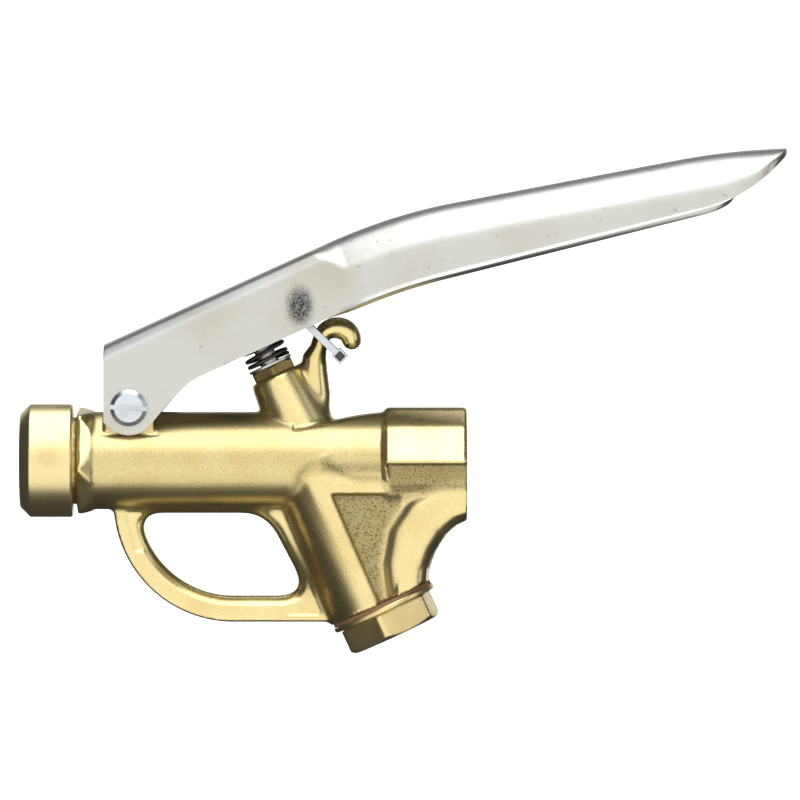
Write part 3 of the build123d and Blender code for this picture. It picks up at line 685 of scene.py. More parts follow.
@dataclass
class Casting:
    """The brass body: tube, hexagons, chamber, elbow, boss, hook, lug and finger loop.

    An outline is a list of (x, z) corners in the plane of symmetry. Tuples of sizes hold:
        outlet_hex, inlet_hex: start, end and width across the flats.
        outlet_cone: a radius and where the turned-down cone has it.
        neck: a point of the sloping flat on the tube's top, and its slope.
        throat: radius, start and end of the hole between the inlet and the elbow.
        boss_r, chamber_r: radius at the run's axis and at the far end.
        bite: centre and radius of the hollow curve behind the elbow.
        lug: centre, radius and half width.
        pad: half length, and depth below the lug's centre.
        loop_r: outer and inner radius of its round end.
        loop_ends: top of the loop, top of its opening, and its right end.
        loop_back: a point on the opening's slanted side, and that side's normal.
        curl_r: the hook's half width where the curl starts, and how much it swells.
    """

    OUTLINES: ClassVar[dict[str, list[tuple[float, float]]]] = {
        "panel": [(-102.5, -15), (-95.5, -15), (-96.0, -27), (-99.5, -27)],
        "foot": [(-54.5, -46.2), (-43.5, -46.2), (-47.5, -36.5)],
        "web": [(-50, -4), (-24, -4), (-23, -10), (-21, -12), (-24, -30), (-24, -44), (-30, -43)],
        "core": [(-50, -4), (-24, -1), (0, -1), (0, -17), (-12, -27), (-12, -36), (-30, -43)],
        "pocket": [(-40.6, -9.8), (-20.0, -9.8), (-19.0, -30.0), (-21.5, -42.6), (-26.4, -42.6)],
        "notch": [(-24.2, -0.7), (0.5, -0.7), (0.5, -8.0), (-14.0, -9.0), (-22.4, -9.4)],
    }
    BEND: ClassVar[list[tuple[float, float]]] = [
        (3, -11), (-6, -12.2), (-12.5, -16.5), (-16.5, -23), (-18.6, -31), (-18.4, -41),
    ]
    BEND_R: ClassVar[list[float]] = [8.5, 8.8, 9.6, 10.0, 9.0, 7.6]
    ARM: ClassVar[list[tuple[float, float]]] = [
        (-46.6, 12.0), (-45.8, 20.0), (-46.0, 26.0), (-45.8, 30.5), (-44.6, 33.8),
    ]
    ARM_R: ClassVar[list[float]] = [5.2, 4.8, 4.3, 3.7, 2.6]

    step: float = 0.66
    low: tuple[float, float, float] = (-126.31, -19.13, -51.07)
    high: tuple[float, float, float] = (0.93, 19.2, 46.2)
    tube_r: float = 14.5
    tube_bore: float = 9.5
    tube_end: float = -12.0
    bore_end: float = -37.0
    spigot_r: float = 13.0
    spigot_x: float = -125.0
    outlet_hex: tuple[float, float, float] = (-116.7, -112.1, 30.0)
    outlet_turn: float = math.radians(-8.0)
    outlet_cone: tuple[float, float] = (16.2, -114.5)
    inlet_hex: tuple[float, float, float] = (-25.2, 0.0, 32.0)
    inlet_bevel: float = 0.6
    neck: Line = (-41.0, 11.9, 0.2125)
    neck_start: float = -52.0
    socket_r: float = 13.4
    socket_depth: float = 15.0
    throat: tuple[float, float, float] = (8.0, -21.5, -10.0)
    passage_r: float = 6.3
    passage_foot: float = -30.0
    seat_r: float = 6.8
    seat_height: float = -16.5
    boss_top: float = 28.4
    boss_r: tuple[float, float] = (11.2, 7.9)
    chamber_r: tuple[float, float] = (14.8, 16.5)
    chamber_foot: float = -46.9
    chamber_bore: float = 11.6
    stem_hole: float = 3.2
    gland_r: float = 4.6
    gland_foot: float = 20.4
    bend_half: float = 14.6
    bend_power: float = 2.8
    web_half: float = 14.2
    core_half: float = 12.3
    notch_floor: float = 14.7
    bite: tuple[float, float, float] = (9.3, -35.85, 20.1)
    lug: tuple[float, float, float, float] = (-101.1, 16.05, 7.4, 11.95)
    lug_bore: float = 4.55
    pad: tuple[float, float] = (8.4, 8.35)
    loop_centre: tuple[float, float] = (-70.0, -12.3)
    loop_r: tuple[float, float] = (36.0, 28.2)
    loop_ends: tuple[float, float, float] = (-4.0, -15.6, -44.0)
    loop_back: tuple[float, float, float, float] = (-47.3, -40.6, 25.0, 13.1)
    loop_half: float = 4.6
    loop_crown: float = 2.6
    panel_depth: float = 0.7
    hook_half: float = 4.3
    curl_centre: tuple[float, float] = (-39.2, 35.9)
    curl_reach: tuple[float, float] = (4.6, 3.9)
    curl_turn: tuple[float, float] = (162.0, 5.0)
    curl_r: tuple[float, float] = (2.5, 0.8)

    def cane(self) -> tuple[np.ndarray, np.ndarray]:
        """The hook's centre line and its half widths: a straight arm and an elliptical curl."""
        turn = np.radians(np.linspace(*self.curl_turn, 12))
        (cx, cz), (across, rise) = self.curl_centre, self.curl_reach
        curl = np.stack([cx + across * np.cos(turn), cz + rise * np.sin(turn)], 1)
        thin, swell = self.curl_r
        curl_r = thin + swell * np.sin(np.linspace(0.0, 2.5, 12))
        return np.concatenate([self.ARM, curl]), np.concatenate([self.ARM_R, curl_r])

    def plane_shapes(self, x: np.ndarray, z: np.ndarray) -> dict[str, np.ndarray]:
        """Signed distances in the XZ plane to the outlines that have a constant thickness.

        Args:
            x: places along the run.
            z: places towards the lever.

        Returns:
            A distance for each outline by name, with the half widths of the two chains.
        """
        flat = {name: polygon_distance(corners, x, z) for name, corners in self.OUTLINES.items()}
        flat["panel"] = np.minimum(flat["panel"], flat.pop("foot"))
        flat["hook"], flat["hook_r"] = path_distance(*self.cane(), x, z)
        flat["bend"], flat["bend_r"] = path_distance(np.array(self.BEND), np.array(self.BEND_R), x, z)
        bx, bz, bite_r = self.bite
        flat["bite"] = np.hypot(x - bx, z - bz) - bite_r
        cx, cz = self.loop_centre
        big, small = self.loop_r
        top, opening_top, right = self.loop_ends
        spoke = np.hypot(x - cx, np.minimum(z - cz, 0))
        outer = np.where(x < cx, spoke - big, cz - big - z)
        outer = soft_max(outer, z - top, 2.0)
        inner = np.where(x < cx, spoke - small, cz - small - z)
        back_x, back_z, lean_x, lean_z = self.loop_back
        back = ((x - back_x) * lean_x + (z - back_z) * lean_z) / math.hypot(lean_x, lean_z)
        flat["opening"] = soft_max(soft_max(inner, back, 9.0), z - opening_top, 7.0)
        right_end = (x - right) * math.cos(TILT) + z * math.sin(TILT)
        flat["loop"] = np.maximum(soft_max(outer, -flat["opening"], 0.6), right_end)
        return flat

    def locate(self, x: np.ndarray, y: np.ndarray, z: np.ndarray) -> Place:
        """The measures of a grid: distances from the run's and the valve's axes, and outlines.

        Args:
            x: places along the run.
            y: places across it.
            z: places towards the lever.

        Returns:
            The measures at each place.
        """
        dx = x - VALVE_X
        across = dx * math.cos(TILT) + z * math.sin(TILT)
        return Place(
            x=x,
            y=y,
            z=z,
            side=np.abs(y),
            run_r=np.hypot(y, z),
            height=z * math.cos(TILT) - dx * math.sin(TILT),
            across=across,
            valve_r=np.hypot(across, y),
            flat=self.plane_shapes(*np.broadcast_arrays(x, z)),
        )

    def tube(self, at: Place) -> np.ndarray:
        """The outlet tube: a cylinder whose top is flattened on a slope before the hexagon.

        Args:
            at: the grid's measures.

        Returns:
            The distance at each place of the grid.
        """
        ends = np.maximum(self.outlet_hex[0] - at.x, at.x - self.tube_end)
        tube = slab(at.run_r - self.tube_r, ends, 0.4)
        dip = np.where(at.x > self.neck_start, at.z - height_on(self.neck, at.x), -9.0)
        return soft_max(tube, dip, 1.5)

    def outlet_hexagon(self, at: Place) -> np.ndarray:
        """The outlet's hexagon: a soft maximum of its facets, turned down by a cone.

        Args:
            at: the grid's measures.

        Returns:
            The distance at each place of the grid.
        """
        front, back, flats = self.outlet_hex
        cos, sin = math.cos(self.outlet_turn), math.sin(self.outlet_turn)
        a, b = at.y * cos - at.z * sin, at.y * sin + at.z * cos
        nut = soft_max(abs(b), abs(b) / 2 + abs(a) * HALF_ROOT_3, 0.8) - flats / 2
        nut = slab(nut, np.maximum(front - at.x, at.x - back), 0.9)
        cone_r, cone_x = self.outlet_cone
        return np.maximum(nut, (at.run_r - cone_r + (at.x - cone_x) * 0.5) * 0.9)

    def inlet_hexagon(self, at: Place) -> np.ndarray:
        """The inlet's hexagon, with its two upper corners bevelled.

        Args:
            at: the grid's measures.

        Returns:
            The distance at each place of the grid.
        """
        start, end, flats = self.inlet_hex
        socket = soft_max(abs(at.z), abs(at.z) / 2 + at.side * HALF_ROOT_3, 2.2)
        bevel = at.side / 2 + at.z * HALF_ROOT_3 + self.inlet_bevel
        socket = soft_max(socket, bevel, 1.2) - flats / 2
        return slab(slab(socket, start - at.x, 1.8), at.x - end, 1.1)

    def boss(self, at: Place) -> np.ndarray:
        """The gland's boss: a cone about the valve's axis.

        Args:
            at: the grid's measures.

        Returns:
            The distance at each place of the grid.
        """
        share = np.clip(at.height / self.boss_top, 0, 1)
        boss = at.valve_r - (self.boss_r[0] + share * (self.boss_r[1] - self.boss_r[0]))
        return slab(boss, np.maximum(at.height - self.boss_top, -at.height - 4), 0.9)

    def lower_body(self, at: Place) -> tuple[np.ndarray, np.ndarray]:
        """The valve's chamber, the web beside it with its pocket, and the elbow.

        The elbow is a chain of superellipses: (d / r)^n + (y / half)^n = 1.

        Args:
            at: the grid's measures.

        Returns:
            The distance to all of them, and to the elbow alone.
        """
        depth = np.clip(at.height / self.chamber_foot, 0, 1)
        wall = at.valve_r - (self.chamber_r[0] + depth * (self.chamber_r[1] - self.chamber_r[0]))
        lower = slab(wall, np.maximum(self.chamber_foot - at.height, at.height), 0.5)
        n = self.bend_power
        bend = ((at.flat["bend"] / at.flat["bend_r"]) ** n + (at.side / self.bend_half) ** n) ** (1 / n)
        bend = (bend - 1) * at.flat["bend_r"]
        pocket = soft_max(at.flat["pocket"], self.core_half - at.side, 1.4)
        lower = soft_min(lower, slab(at.flat["web"], at.side - self.web_half, 3.0), 2.5)
        lower = soft_max(lower, -pocket, 1.2)
        lower = np.minimum(lower, slab(at.flat["core"], at.side - self.core_half, 1.0))
        lower = soft_min(lower, bend, 0.9)
        return soft_max(lower, -at.flat["bite"], 3.5), bend

    def loop(self, at: Place) -> np.ndarray:
        """The finger loop: flat, crowned round its opening and sunk in two panels.

        Args:
            at: the grid's measures.

        Returns:
            The distance at each place of the grid.
        """
        edge = np.clip(at.flat["opening"], 0, 3)
        beyond = at.side - self.loop_half
        loop = slab(at.flat["loop"], beyond, 0.9)
        loop = soft_max(loop, beyond + self.loop_crown - edge, 1.6)
        return soft_max(loop, -soft_max(at.flat["panel"], -beyond - self.panel_depth, 0.8), 0.8)

    def hook(self, at: Place) -> np.ndarray:
        """The cane hook: an ellipse carried along its centre line."""
        reach = np.hypot(at.flat["hook"], at.side * at.flat["hook_r"] / self.hook_half)
        return np.maximum((reach - at.flat["hook_r"]) * 0.9, -at.z)

    def lug_and_pads(self, at: Place) -> tuple[np.ndarray, np.ndarray]:
        """The pivot's lug, and the flat pads beside it that the lever's ears clear.

        Args:
            at: the grid's measures.

        Returns:
            The distance to the lug, and to what the pads take away.
        """
        x, z, radius, half = self.lug
        long, drop = self.pad
        off = np.abs(at.x - x)
        lug = np.minimum(np.hypot(at.x - x, at.z - z) - radius, np.maximum(off - radius, at.z - z))
        lug = slab(np.maximum(lug, -at.z), at.side - half, 0.4)
        return lug, np.maximum(np.maximum(off - long, z - drop - at.z), half - at.side)

    def bores(self, at: Place) -> list[np.ndarray]:
        """Everything that is drilled or turned out of the casting.

        Args:
            at: the grid's measures.

        Returns:
            A distance for each bore.
        """
        throat_r, throat_start, throat_end = self.throat
        mouth, foot = self.spigot_x - 2, self.chamber_foot - 3
        return [
            np.maximum(at.run_r - self.tube_bore, np.maximum(mouth - at.x, at.x - self.bore_end)),
            np.maximum(at.run_r - self.socket_r, -self.socket_depth - at.x),
            np.maximum(at.run_r - throat_r, np.maximum(throat_start - at.x, at.x - throat_end)),
            np.maximum(
                np.hypot(at.x - throat_start, at.y) - self.passage_r,
                np.maximum(at.z, self.passage_foot - at.z),
            ),
            np.maximum(at.valve_r - self.seat_r, np.maximum(at.height, self.seat_height - at.height)),
            np.maximum(
                at.valve_r - self.chamber_bore,
                np.maximum(at.height - self.seat_height, foot - at.height),
            ),
            np.maximum(at.valve_r - self.stem_hole, -at.height),
            np.maximum(at.valve_r - self.gland_r, self.gland_foot - at.height),
            np.hypot(at.x - self.lug[0], at.z - self.lug[1]) - self.lug_bore,
        ]

    def skin_and_shade(self, at: Place, bend: np.ndarray) -> np.ndarray:
        """How rough and dark the skin is: most in the pocket and notch, some in a strip below the run.
        Its darkening is painted shade: over the rough cast skin in the pocket, and as painted shadow in
        the notch and the strip.

        Args:
            at: the grid's measures.
            bend: distance to the elbow, which stays smooth.

        Returns:
            A share from 0 to 1 at each place.
        """
        off_bend = np.clip(bend / 1.2, 0, 1)
        # Painted shade in the pocket, over its rough cast skin, and in the notch.
        pocket = np.clip(0.9 - np.maximum(at.flat["pocket"], 11.6 - at.side) / 0.5, 0, 1) * off_bend
        notch = np.clip(0.9 - np.maximum(at.flat["notch"], 11.0 - at.side) / 0.5, 0, 1) * off_bend
        # Painted shadow: a dark strip below the run where the web's top rim meets the tube, which is
        # also made rougher.
        shaded_strip = np.maximum(np.abs(at.x + 34.5) - 9.5, np.abs(at.z + 1.8) - 1.9)
        shaded_strip = 0.45 * np.clip(-shaded_strip / 0.9, 0, 1) * (at.side > 11)
        return np.maximum(np.maximum(pocket, notch), shaded_strip)

    def field(self, x: np.ndarray, y: np.ndarray, z: np.ndarray) -> tuple:
        """Signed distance to the whole casting, with its mask of painted shade in the blends and its
        mask of rough skin with painted shade.

        Each feature is a distance; features join by a soft minimum and are cut by a
        maximum with the negative of what is taken away.

        Args:
            x: places along the run.
            y: places across it.
            z: places towards the lever.

        Returns:
            Three arrays: distance, depth inside a blend for painted shade, and roughness of the skin
                with its painted shade.
        """
        at = self.locate(x, y, z)
        tube, nut, socket = self.tube(at), self.outlet_hexagon(at), self.inlet_hexagon(at)
        lower, bend = self.lower_body(at)
        loop, boss, hook = self.loop(at), self.boss(at), self.hook(at)
        lug, pads = self.lug_and_pads(at)
        notch = soft_max(at.flat["notch"], self.notch_floor - at.side, 1.2)
        socket = soft_min(tube, socket, 1.2)
        main = soft_min(soft_min(tube, nut, 0.8), np.maximum(socket, -notch), 0.6)
        main = soft_max(main, -pads, 0.3)
        plain = np.minimum(np.minimum(tube, nut), socket)
        for feature, blend in ((lower, 1.4), (loop, 2.0), (boss, 0.9), (hook, 1.6)):
            main = soft_min(main, feature, blend)
            plain = np.minimum(plain, feature)
        # Painted shade: how deep each place sits inside a soft blend between features, which darkens
        # the brass there.
        crevice_shade = np.clip((plain - main) / 0.45, 0, 1)
        spigot_end = np.maximum(self.spigot_x - x, x - self.outlet_hex[0] - 2)
        spigot = slab(at.run_r - self.spigot_r, spigot_end, 0.5)
        main = np.minimum(np.minimum(main, lug), spigot)
        main = np.maximum(main, x)
        main = np.maximum(main, self.chamber_foot - at.height + np.where(at.across < -22, -50, 0))
        for bore in self.bores(at):
            main = np.maximum(main, -bore)
        return main, crevice_shade, self.skin_and_shade(at, bend)

    def settled(self, values: np.ndarray, points: np.ndarray) -> np.ndarray:
        """Moves a net's vertices onto the field's zero by three damped Newton steps.

        Args:
            values: the field on its grid.
            points: the net's vertices.

        Returns:
            The moved vertices.
        """
        low, nudge = np.array(self.low), self.step * 0.5
        for _ in range(3):
            ahead, behind = (
                [sampled(values, low, self.step, points + way * nudge * axis) for axis in np.eye(3)]
                for way in (1, -1)
            )
            slope = (np.stack(ahead, 1) - np.stack(behind, 1)) / (2 * nudge)
            steep = np.maximum((slope**2).sum(1), 0.25)
            shift = -(sampled(values, low, self.step, points) / steep)[:, None] * slope
            points = points + np.clip(shift, -0.4 * self.step, 0.4 * self.step) * 0.8
        return points

    def build(self, finish: bpy.types.Material) -> bpy.types.Object:
        """Makes the casting's mesh.

        Args:
            finish: its material, which reads the two masks of painted shade, in the blends and on the
                rough skin, that are set on the vertices here.

        Returns:
            The piece, which stands for the CAD body.
        """
        low, high = np.array(self.low), np.array(self.high)
        shape = tuple(np.ceil((high - low) / self.step).astype(int) + 1)
        x, y, z = (low[i] + self.step * np.arange(shape[i]) for i in range(3))
        grids = self.field(x[:, None, None], y[None, :, None], z[None, None, :])
        values, crevice_shade, skin_and_shade = (np.broadcast_to(grid, shape) for grid in grids)
        points, faces = surface_net(values, low, self.step)
        points = self.settled(values, points)
        piece = new_piece("body_casting", points, faces, Body.NOZZLE, finish)
        # Sets the two masks of painted shade on the vertices.
        for name, grid in (("crevice_shade", crevice_shade), ("skin_and_shade", skin_and_shade)):
            painted = piece.data.attributes.new(name, "FLOAT", "POINT")
            painted.data.foreach_set("value", sampled(grid, low, self.step, points).astype(np.float32))
        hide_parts("valve_body")
        return piece


@dataclass
class InletThread:
    """The female pipe thread cut into the inlet socket."""

    minor_r: float = 12.06
    depth_of_cut: float = 1.1
    wall_r: float = 13.45
    length: float = 15.0
    pitch: float = 1.814
    run_out: float = 3.0
    mouth: float = 1.3
    around: int = 96
    per_pitch: int = 8

    def build(self, finish: bpy.types.Material) -> bpy.types.Object:
        """Makes the thread: r = minor + cut * (0.5 + 0.5 cos(2 pi (x/pitch - angle/2 pi))).

        The cut fades to nothing at the inner end and opens into a chamfer at the mouth.

        Args:
            finish: its material.

        Returns:
            The new piece.
        """
        rows = int(self.length / self.pitch * self.per_pitch)
        x = np.linspace(-self.length, 0, rows)[:, None]
        angle = np.linspace(0, 2 * math.pi, self.around, endpoint=False)[None, :]
        wave = 0.5 + 0.5 * np.cos(2 * math.pi * x / self.pitch - angle)
        fade = np.clip((x + self.length) / self.run_out, 0, 1)
        radius = self.minor_r + self.depth_of_cut * wave * fade
        radius = np.maximum(radius, self.minor_r + np.clip(x + self.mouth, 0, None) * 0.95)
        radius = np.minimum(radius, self.wall_r - 0.1)
        radius = np.concatenate([radius, np.full((2, self.around), self.wall_r)])
        place = np.concatenate([x, [[0.0], [-self.length]]]) * np.ones_like(angle)
        points = MAIN_RUN.points(radius, np.broadcast_to(angle, radius.shape), place)
        faces = grid_faces(len(place), self.around, True, True)
        return new_piece("inlet_thread", points, faces, Body.NOZZLE, finish)


@dataclass
class Outlet:
    """The turned ring at the outlet, with its lip and chamfers."""

    front: float = -134.0
    back: float = -118.2
    radius: float = 16.95
    bore: float = 13.05
    mouth: float = 8.6
    lip: float = 3.0
    chamfer: float = 3.0

    def build(self, finish: bpy.types.Material) -> bpy.types.Object:
        """Makes the ring as a solid of revolution, which stands for the CAD ring.

        Args:
            finish: its material.

        Returns:
            The new piece.
        """
        corners = [
            (self.mouth + 0.8, self.front, 0.3),
            (self.radius - self.chamfer, self.front, 0.5),
            (self.radius, self.front + self.chamfer, 0.45),
            (self.radius, self.back - 0.5, 0.25),
            (self.radius - 0.5, self.back, 0.25),
            (self.bore, self.back, 0.2),
            (self.bore, self.front + self.lip, 0.2),
            (self.mouth, self.front + self.lip, 0.2),
            (self.mouth, self.front + 0.8, 0.3),
        ]
        points, faces = turned(MAIN_RUN, corners, 160)
        piece = new_piece("outlet_collar", points, faces, Body.NOZZLE, finish)
        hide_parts("outlet_ring")
        return piece


UNCUT = 99.0


@dataclass
class Nut:
    """A closed hexagonal piece with soft corners, and end cones unless an end is uncut.

    Its extra corners, as (radius, height, rounding), carry the outline on past its high end.
    """

    name: str
    node: str
    slot: str
    axis: Axis
    low: float
    high: float
    across_flats: float
    bore: float
    turn: float = 0.0
    cut_low: bool = True
    cut_high: bool = True
    body: Body = Body.NOZZLE
    cone: float = 62.0
    sharpness: float = 40.0
    rows: int = 25
    around: int = 144
    extra: list[tuple[float, float, float]] = field(default_factory=list)

    def build(self, finish: bpy.types.Material) -> bpy.types.Object:
        """Makes the nut: its radius is the soft smaller of the hexagon and the end cones.

        Args:
            finish: its material.

        Returns:
            The new piece.
        """
        heights = np.linspace(self.low, self.high, self.rows)
        angle = np.linspace(0, 2 * math.pi, self.around, endpoint=False)
        hexagon = hexagon_radius(angle - self.turn, self.across_flats, self.sharpness)
        rise = math.tan(math.radians(self.cone))
        low_cone = (heights - self.low) * (rise if self.cut_low else UNCUT)
        high_cone = (self.high - heights) * (rise if self.cut_high else UNCUT)
        cone = self.across_flats / 2 * 0.985 + np.minimum(low_cone, high_cone)[:, None]
        side = soft_min(np.broadcast_to(hexagon, (self.rows, self.around)), cone, 0.35)
        extra = rounded_profile(self.extra, 3) if self.extra else np.zeros((0, 2))
        hole = np.full((1, self.around), self.bore)
        radius = np.concatenate([hole, side, np.tile(extra[:, :1], self.around), hole])
        place = np.concatenate([[self.low], heights, extra[:, 1], [self.high]])[:, None]
        place = np.tile(place, self.around)
        points = self.axis.points(radius, np.broadcast_to(angle, radius.shape), place)
        faces = grid_faces(len(place), self.around, True, True)
        piece = new_piece(self.name, points, faces, self.body, finish)
        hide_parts(self.node)
        return piece


@dataclass
class Spring:
    """A coil spring with closed end turns."""

    name: str
    node: str
    low: float
    high: float
    outer_r: float
    wire: float
    pitch: float
    fixed: float
    travel: float = 7.0
    play: float = 0.05
    closed_turns: float = 1.1
    easing: int = 9
    sides: int = 12
    per_turn: int = 36

    def build(self, finish: bpy.types.Material) -> bpy.types.Object:
        """Makes the coil: a circle carried round a helix whose pitch closes at both ends.

        Args:
            finish: its material.

        Returns:
            The new piece.
        """
        closed = self.closed_turns
        height = self.high - self.low - self.wire - 2 * self.play
        open_turns = (height - 2 * closed * self.wire) / self.pitch
        turns = open_turns + 2 * closed
        steps = int(turns * self.per_turn)
        t = np.linspace(0, turns, steps)
        rise = np.interp(
            t,
            [0, closed, closed + open_turns, turns],
            [0, closed * self.wire, height - closed * self.wire, height],
        )
        window = 2 * self.easing + 1
        padded = np.pad(rise, self.easing, mode="reflect", reflect_type="odd")
        smooth = np.convolve(padded, np.ones(window) / window, "valid")
        angle = 2 * math.pi * t
        centre_r = self.outer_r - self.wire / 2
        around = np.linspace(0, 2 * math.pi, self.sides, endpoint=False)
        radius = centre_r + self.wire / 2 * np.cos(around)[None, :] * np.ones((steps, 1))
        place = self.low + self.wire / 2 + self.play + smooth[:, None]
        place = place + self.wire / 2 * np.sin(around)[None, :]
        points = VALVE_AXIS.points(radius, np.broadcast_to(angle[:, None], radius.shape), place)
        faces = grid_faces(steps, self.sides, False, True)
        ring, last = np.arange(self.sides), (steps - 1) * self.sides
        following = np.roll(ring, -1)
        tip = np.full(self.sides, len(points))
        points = np.vstack([points, points[: self.sides].mean(0), points[last:].mean(0)])
        caps = np.stack([[tip, following, ring], [tip + 1, last + ring, last + following]])
        caps = caps.transpose(0, 2, 1).reshape(-1, 3)
        piece = new_piece(self.name, points, faces, Body.NOZZLE, finish, caps)
        anchor = VALVE_AXIS.points(np.zeros(1), np.zeros(1), np.array([self.fixed]))[0] * MM
        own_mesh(piece)
        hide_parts(self.node)
        return piece


@dataclass
class LeverShell:
    """The pressed lever: a flat-walled channel at the pivot that swells into an arched handle."""

    back_x: float = -108.7
    tip_x: float = 95.75
    pivot: tuple[float, float] = (-101.1, 16.05)
    ear_r: float = 8.2
    half: float = 14.4
    handle_half: float = 15.0
    sheet: float = 1.7
    edge: float = 0.35
    rear_crest: Line = (-109.3, 34.65, 0.4536)
    front_crest: Line = (-23.2, 73.7, 0.1905)
    tip_crest: Line = (84.0, 93.05, 0.055)
    flank: Line = (-82.5, 24.225, 0.4545)
    belly: Line = (-21.0, 51.9, 0.2555)
    heel_slope: float = 1.19
    nose_x: float = 68.0
    nose_rise: float = 0.00354
    nose_power: float = 2.39
    swell_x: float = -44.0
    swell_length: float = 9.0
    tip_start: float = 82.0
    tip_power: float = 2.6
    lip_roll: float = 0.75
    stations: int = 420
    across: int = 41

    def top(self, x: np.ndarray) -> np.ndarray:
        """Height of the crest line: two straight runs joined softly, level at the tip."""
        line = -soft_max(-height_on(self.rear_crest, x), -height_on(self.front_crest, x), 5.0)
        return -soft_max(-line, -height_on(self.tip_crest, x), 1.8)

    def bottom(self, x: np.ndarray) -> np.ndarray:
        """Height of the lower edge: ear circle, rising heel, two straight runs and the tip.

        Args:
            x: places along the lever.

        Returns:
            A height for each place.
        """
        px, pz = self.pivot
        reach = np.clip(self.ear_r**2 - (x - px) ** 2, 0, None)
        leave_x, leave_z = px + 0.8 * self.ear_r, pz - 0.6 * self.ear_r
        heel = height_on((leave_x, leave_z, self.heel_slope), x)
        low = np.where(x < leave_x, pz - np.sqrt(reach), heel)
        line = -soft_max(-height_on(self.flank, x), -height_on(self.belly, x), 3.0)
        low = -soft_max(-low, -line, 3.5)
        nose = self.nose_rise * np.clip(x - self.nose_x, 0, None) ** self.nose_power
        return np.minimum(low + nose, self.top(x) - 0.9)

    def build(self, finish: bpy.types.Material) -> bpy.types.Object:
        """Makes the sheet as a grid, gives it its thickness and rounds its edges.

        A station is a place along X. Across it, t runs from -1 at one lower edge, over the
        crest at 0, to 1 at the other. Near the pivot the section is flat with a tight bend,
        in the handle it is half an ellipse on straight sides, and a soft step joins them.

        Args:
            finish: its material.

        Returns:
            The new piece.
        """
        u = np.linspace(0, 1, self.stations)
        x = self.back_x + (self.tip_x - self.back_x) * (u - 0.012 * np.sin(2 * math.pi * u))
        t = np.linspace(-1, 1, 2 * self.across - 1)
        x, t = np.meshgrid(x, t, indexing="ij")
        top, bottom = self.top(x), self.bottom(x)
        depth = top - bottom
        span = np.abs(t)
        edge_x = self.swell_x + self.swell_length * span**1.5
        mix = np.clip((x - edge_x) / self.swell_length + 0.5, 0, 1)
        mix = mix * mix * (3 - 2 * mix)
        across, drop = self._section(span, depth, mix)
        reach = np.clip((x - self.tip_start) / (self.tip_x + 0.35 - self.tip_start), 0, 0.9995)
        across = across * (1 - reach**self.tip_power) ** (1 / self.tip_power)
        lip = np.clip((x + 42) / 6, 0, 1) * np.clip((80 - x) / 8, 0, 1)
        rolled = np.clip((span - 0.955) / 0.045, 0, 1) ** 2
        across = across + self.lip_roll * lip * rolled
        points = np.stack([x, across * np.sign(t), top - drop], -1).reshape(-1, 3)
        faces = grid_faces(*x.shape, False, False)
        piece = new_piece("lever_shell", points, faces, Body.LEVER, finish)
        middle = piece.data.polygons[(self.stations // 2) * (2 * self.across - 2) + self.across]
        if middle.normal.z < 0:
            piece.data.flip_normals()
        wall = piece.modifiers.new("sheet", "SOLIDIFY")
        wall.thickness = self.sheet * MM
        wall.offset = -1.0
        wall.use_even_offset = True
        wall.use_quality_normals = True
        bevelled(piece, self.edge, 50, False)
        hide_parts("lever")
        return piece

    def _section(
        self, span: np.ndarray, depth: np.ndarray, arch: np.ndarray
    ) -> tuple[np.ndarray, np.ndarray]:
        """Half a channel section: a quarter superellipse and then a straight wall.

        The exponent falls from nearly square at the pivot to nearly round in the handle:
        y = a sin(w)^(2/n), z = b (1 - cos(w)^(2/n)).

        Args:
            span: 0 at the crest to 1 at the lower edge.
            depth: height of the section.
            arch: 0 for the square channel to 1 for the arched handle.

        Returns:
            Distance across and distance below the crest.
        """
        power = 2 / (3.2 * (1 - arch) + 2.1 * arch)
        half = self.half * (1 - arch) + self.handle_half * arch
        bend = np.minimum(6.8 * (1 - arch) + 12.5 * arch, depth * 0.8)
        turn = np.clip(span / 0.68, 0, 1) * math.pi / 2
        wall = np.clip((span - 0.68) / 0.32, 0, 1)
        across = half * np.sin(turn) ** power
        drop = bend * (1 - np.cos(turn).clip(0) ** power) + (depth - bend) * wall
        return across, drop


def softened(
    node: str, width: float, body: Body, finish: bpy.types.Material
) -> bpy.types.Object:
    """A merged copy of a CAD node with its sharp edges broken by a small bevel.

    Args:
        node: the CAD node that it stands for.
        width: the bevel's width in millimetres.
        body: the body it rides on.
        finish: its material.

    Returns:
        The new piece.
    """
    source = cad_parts[node].data
    points = np.zeros(len(source.vertices) * 3)
    source.vertices.foreach_get("co", points)
    points = points.reshape(-1, 3) / MM
    loops = np.zeros(len(source.loops), int)
    source.loops.foreach_get("vertex_index", loops)
    merged, where = np.unique(np.round(points, 4), axis=0, return_inverse=True)
    faces = where.ravel()[loops].reshape(-1, 3)
    whole = (faces[:, 0] != faces[:, 1]) & (faces[:, 1] != faces[:, 2]) & (faces[:, 2] != faces[:, 0])
    piece = new_piece(f"{node}_finished", merged, faces[whole], body, finish)
    bevelled(piece, width, 40, True)
    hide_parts(node)
    return piece


@dataclass(frozen=True)
class SoftBox:
    """A rectangular area light that faces a place at the nozzle's height."""

    name: str
    place: tuple[float, float, float]
    size: tuple[float, float]
    aim: tuple[float, float]
    power: float
    tint: tuple[float, float, float]

    def build(self) -> None:
        """Adds the light, hidden from the camera."""
        light = bpy.data.lights.new(self.name, "AREA")
        light.shape = "RECTANGLE"
        light.size, light.size_y = self.size
        light.energy = self.power
        light.color = self.tint
        lamp = bpy.data.objects.new(self.name, light)
        lamp.location = self.place
        toward = np.array((*self.aim, 0.0)) - np.array(self.place)
        pitch = math.atan2(math.hypot(toward[0], toward[1]), -toward[2])
        lamp.rotation_euler = (pitch, 0.0, math.atan2(toward[1], toward[0]) - math.pi / 2)
        lamp.visible_camera = False
        bpy.context.scene.collection.objects.link(lamp)


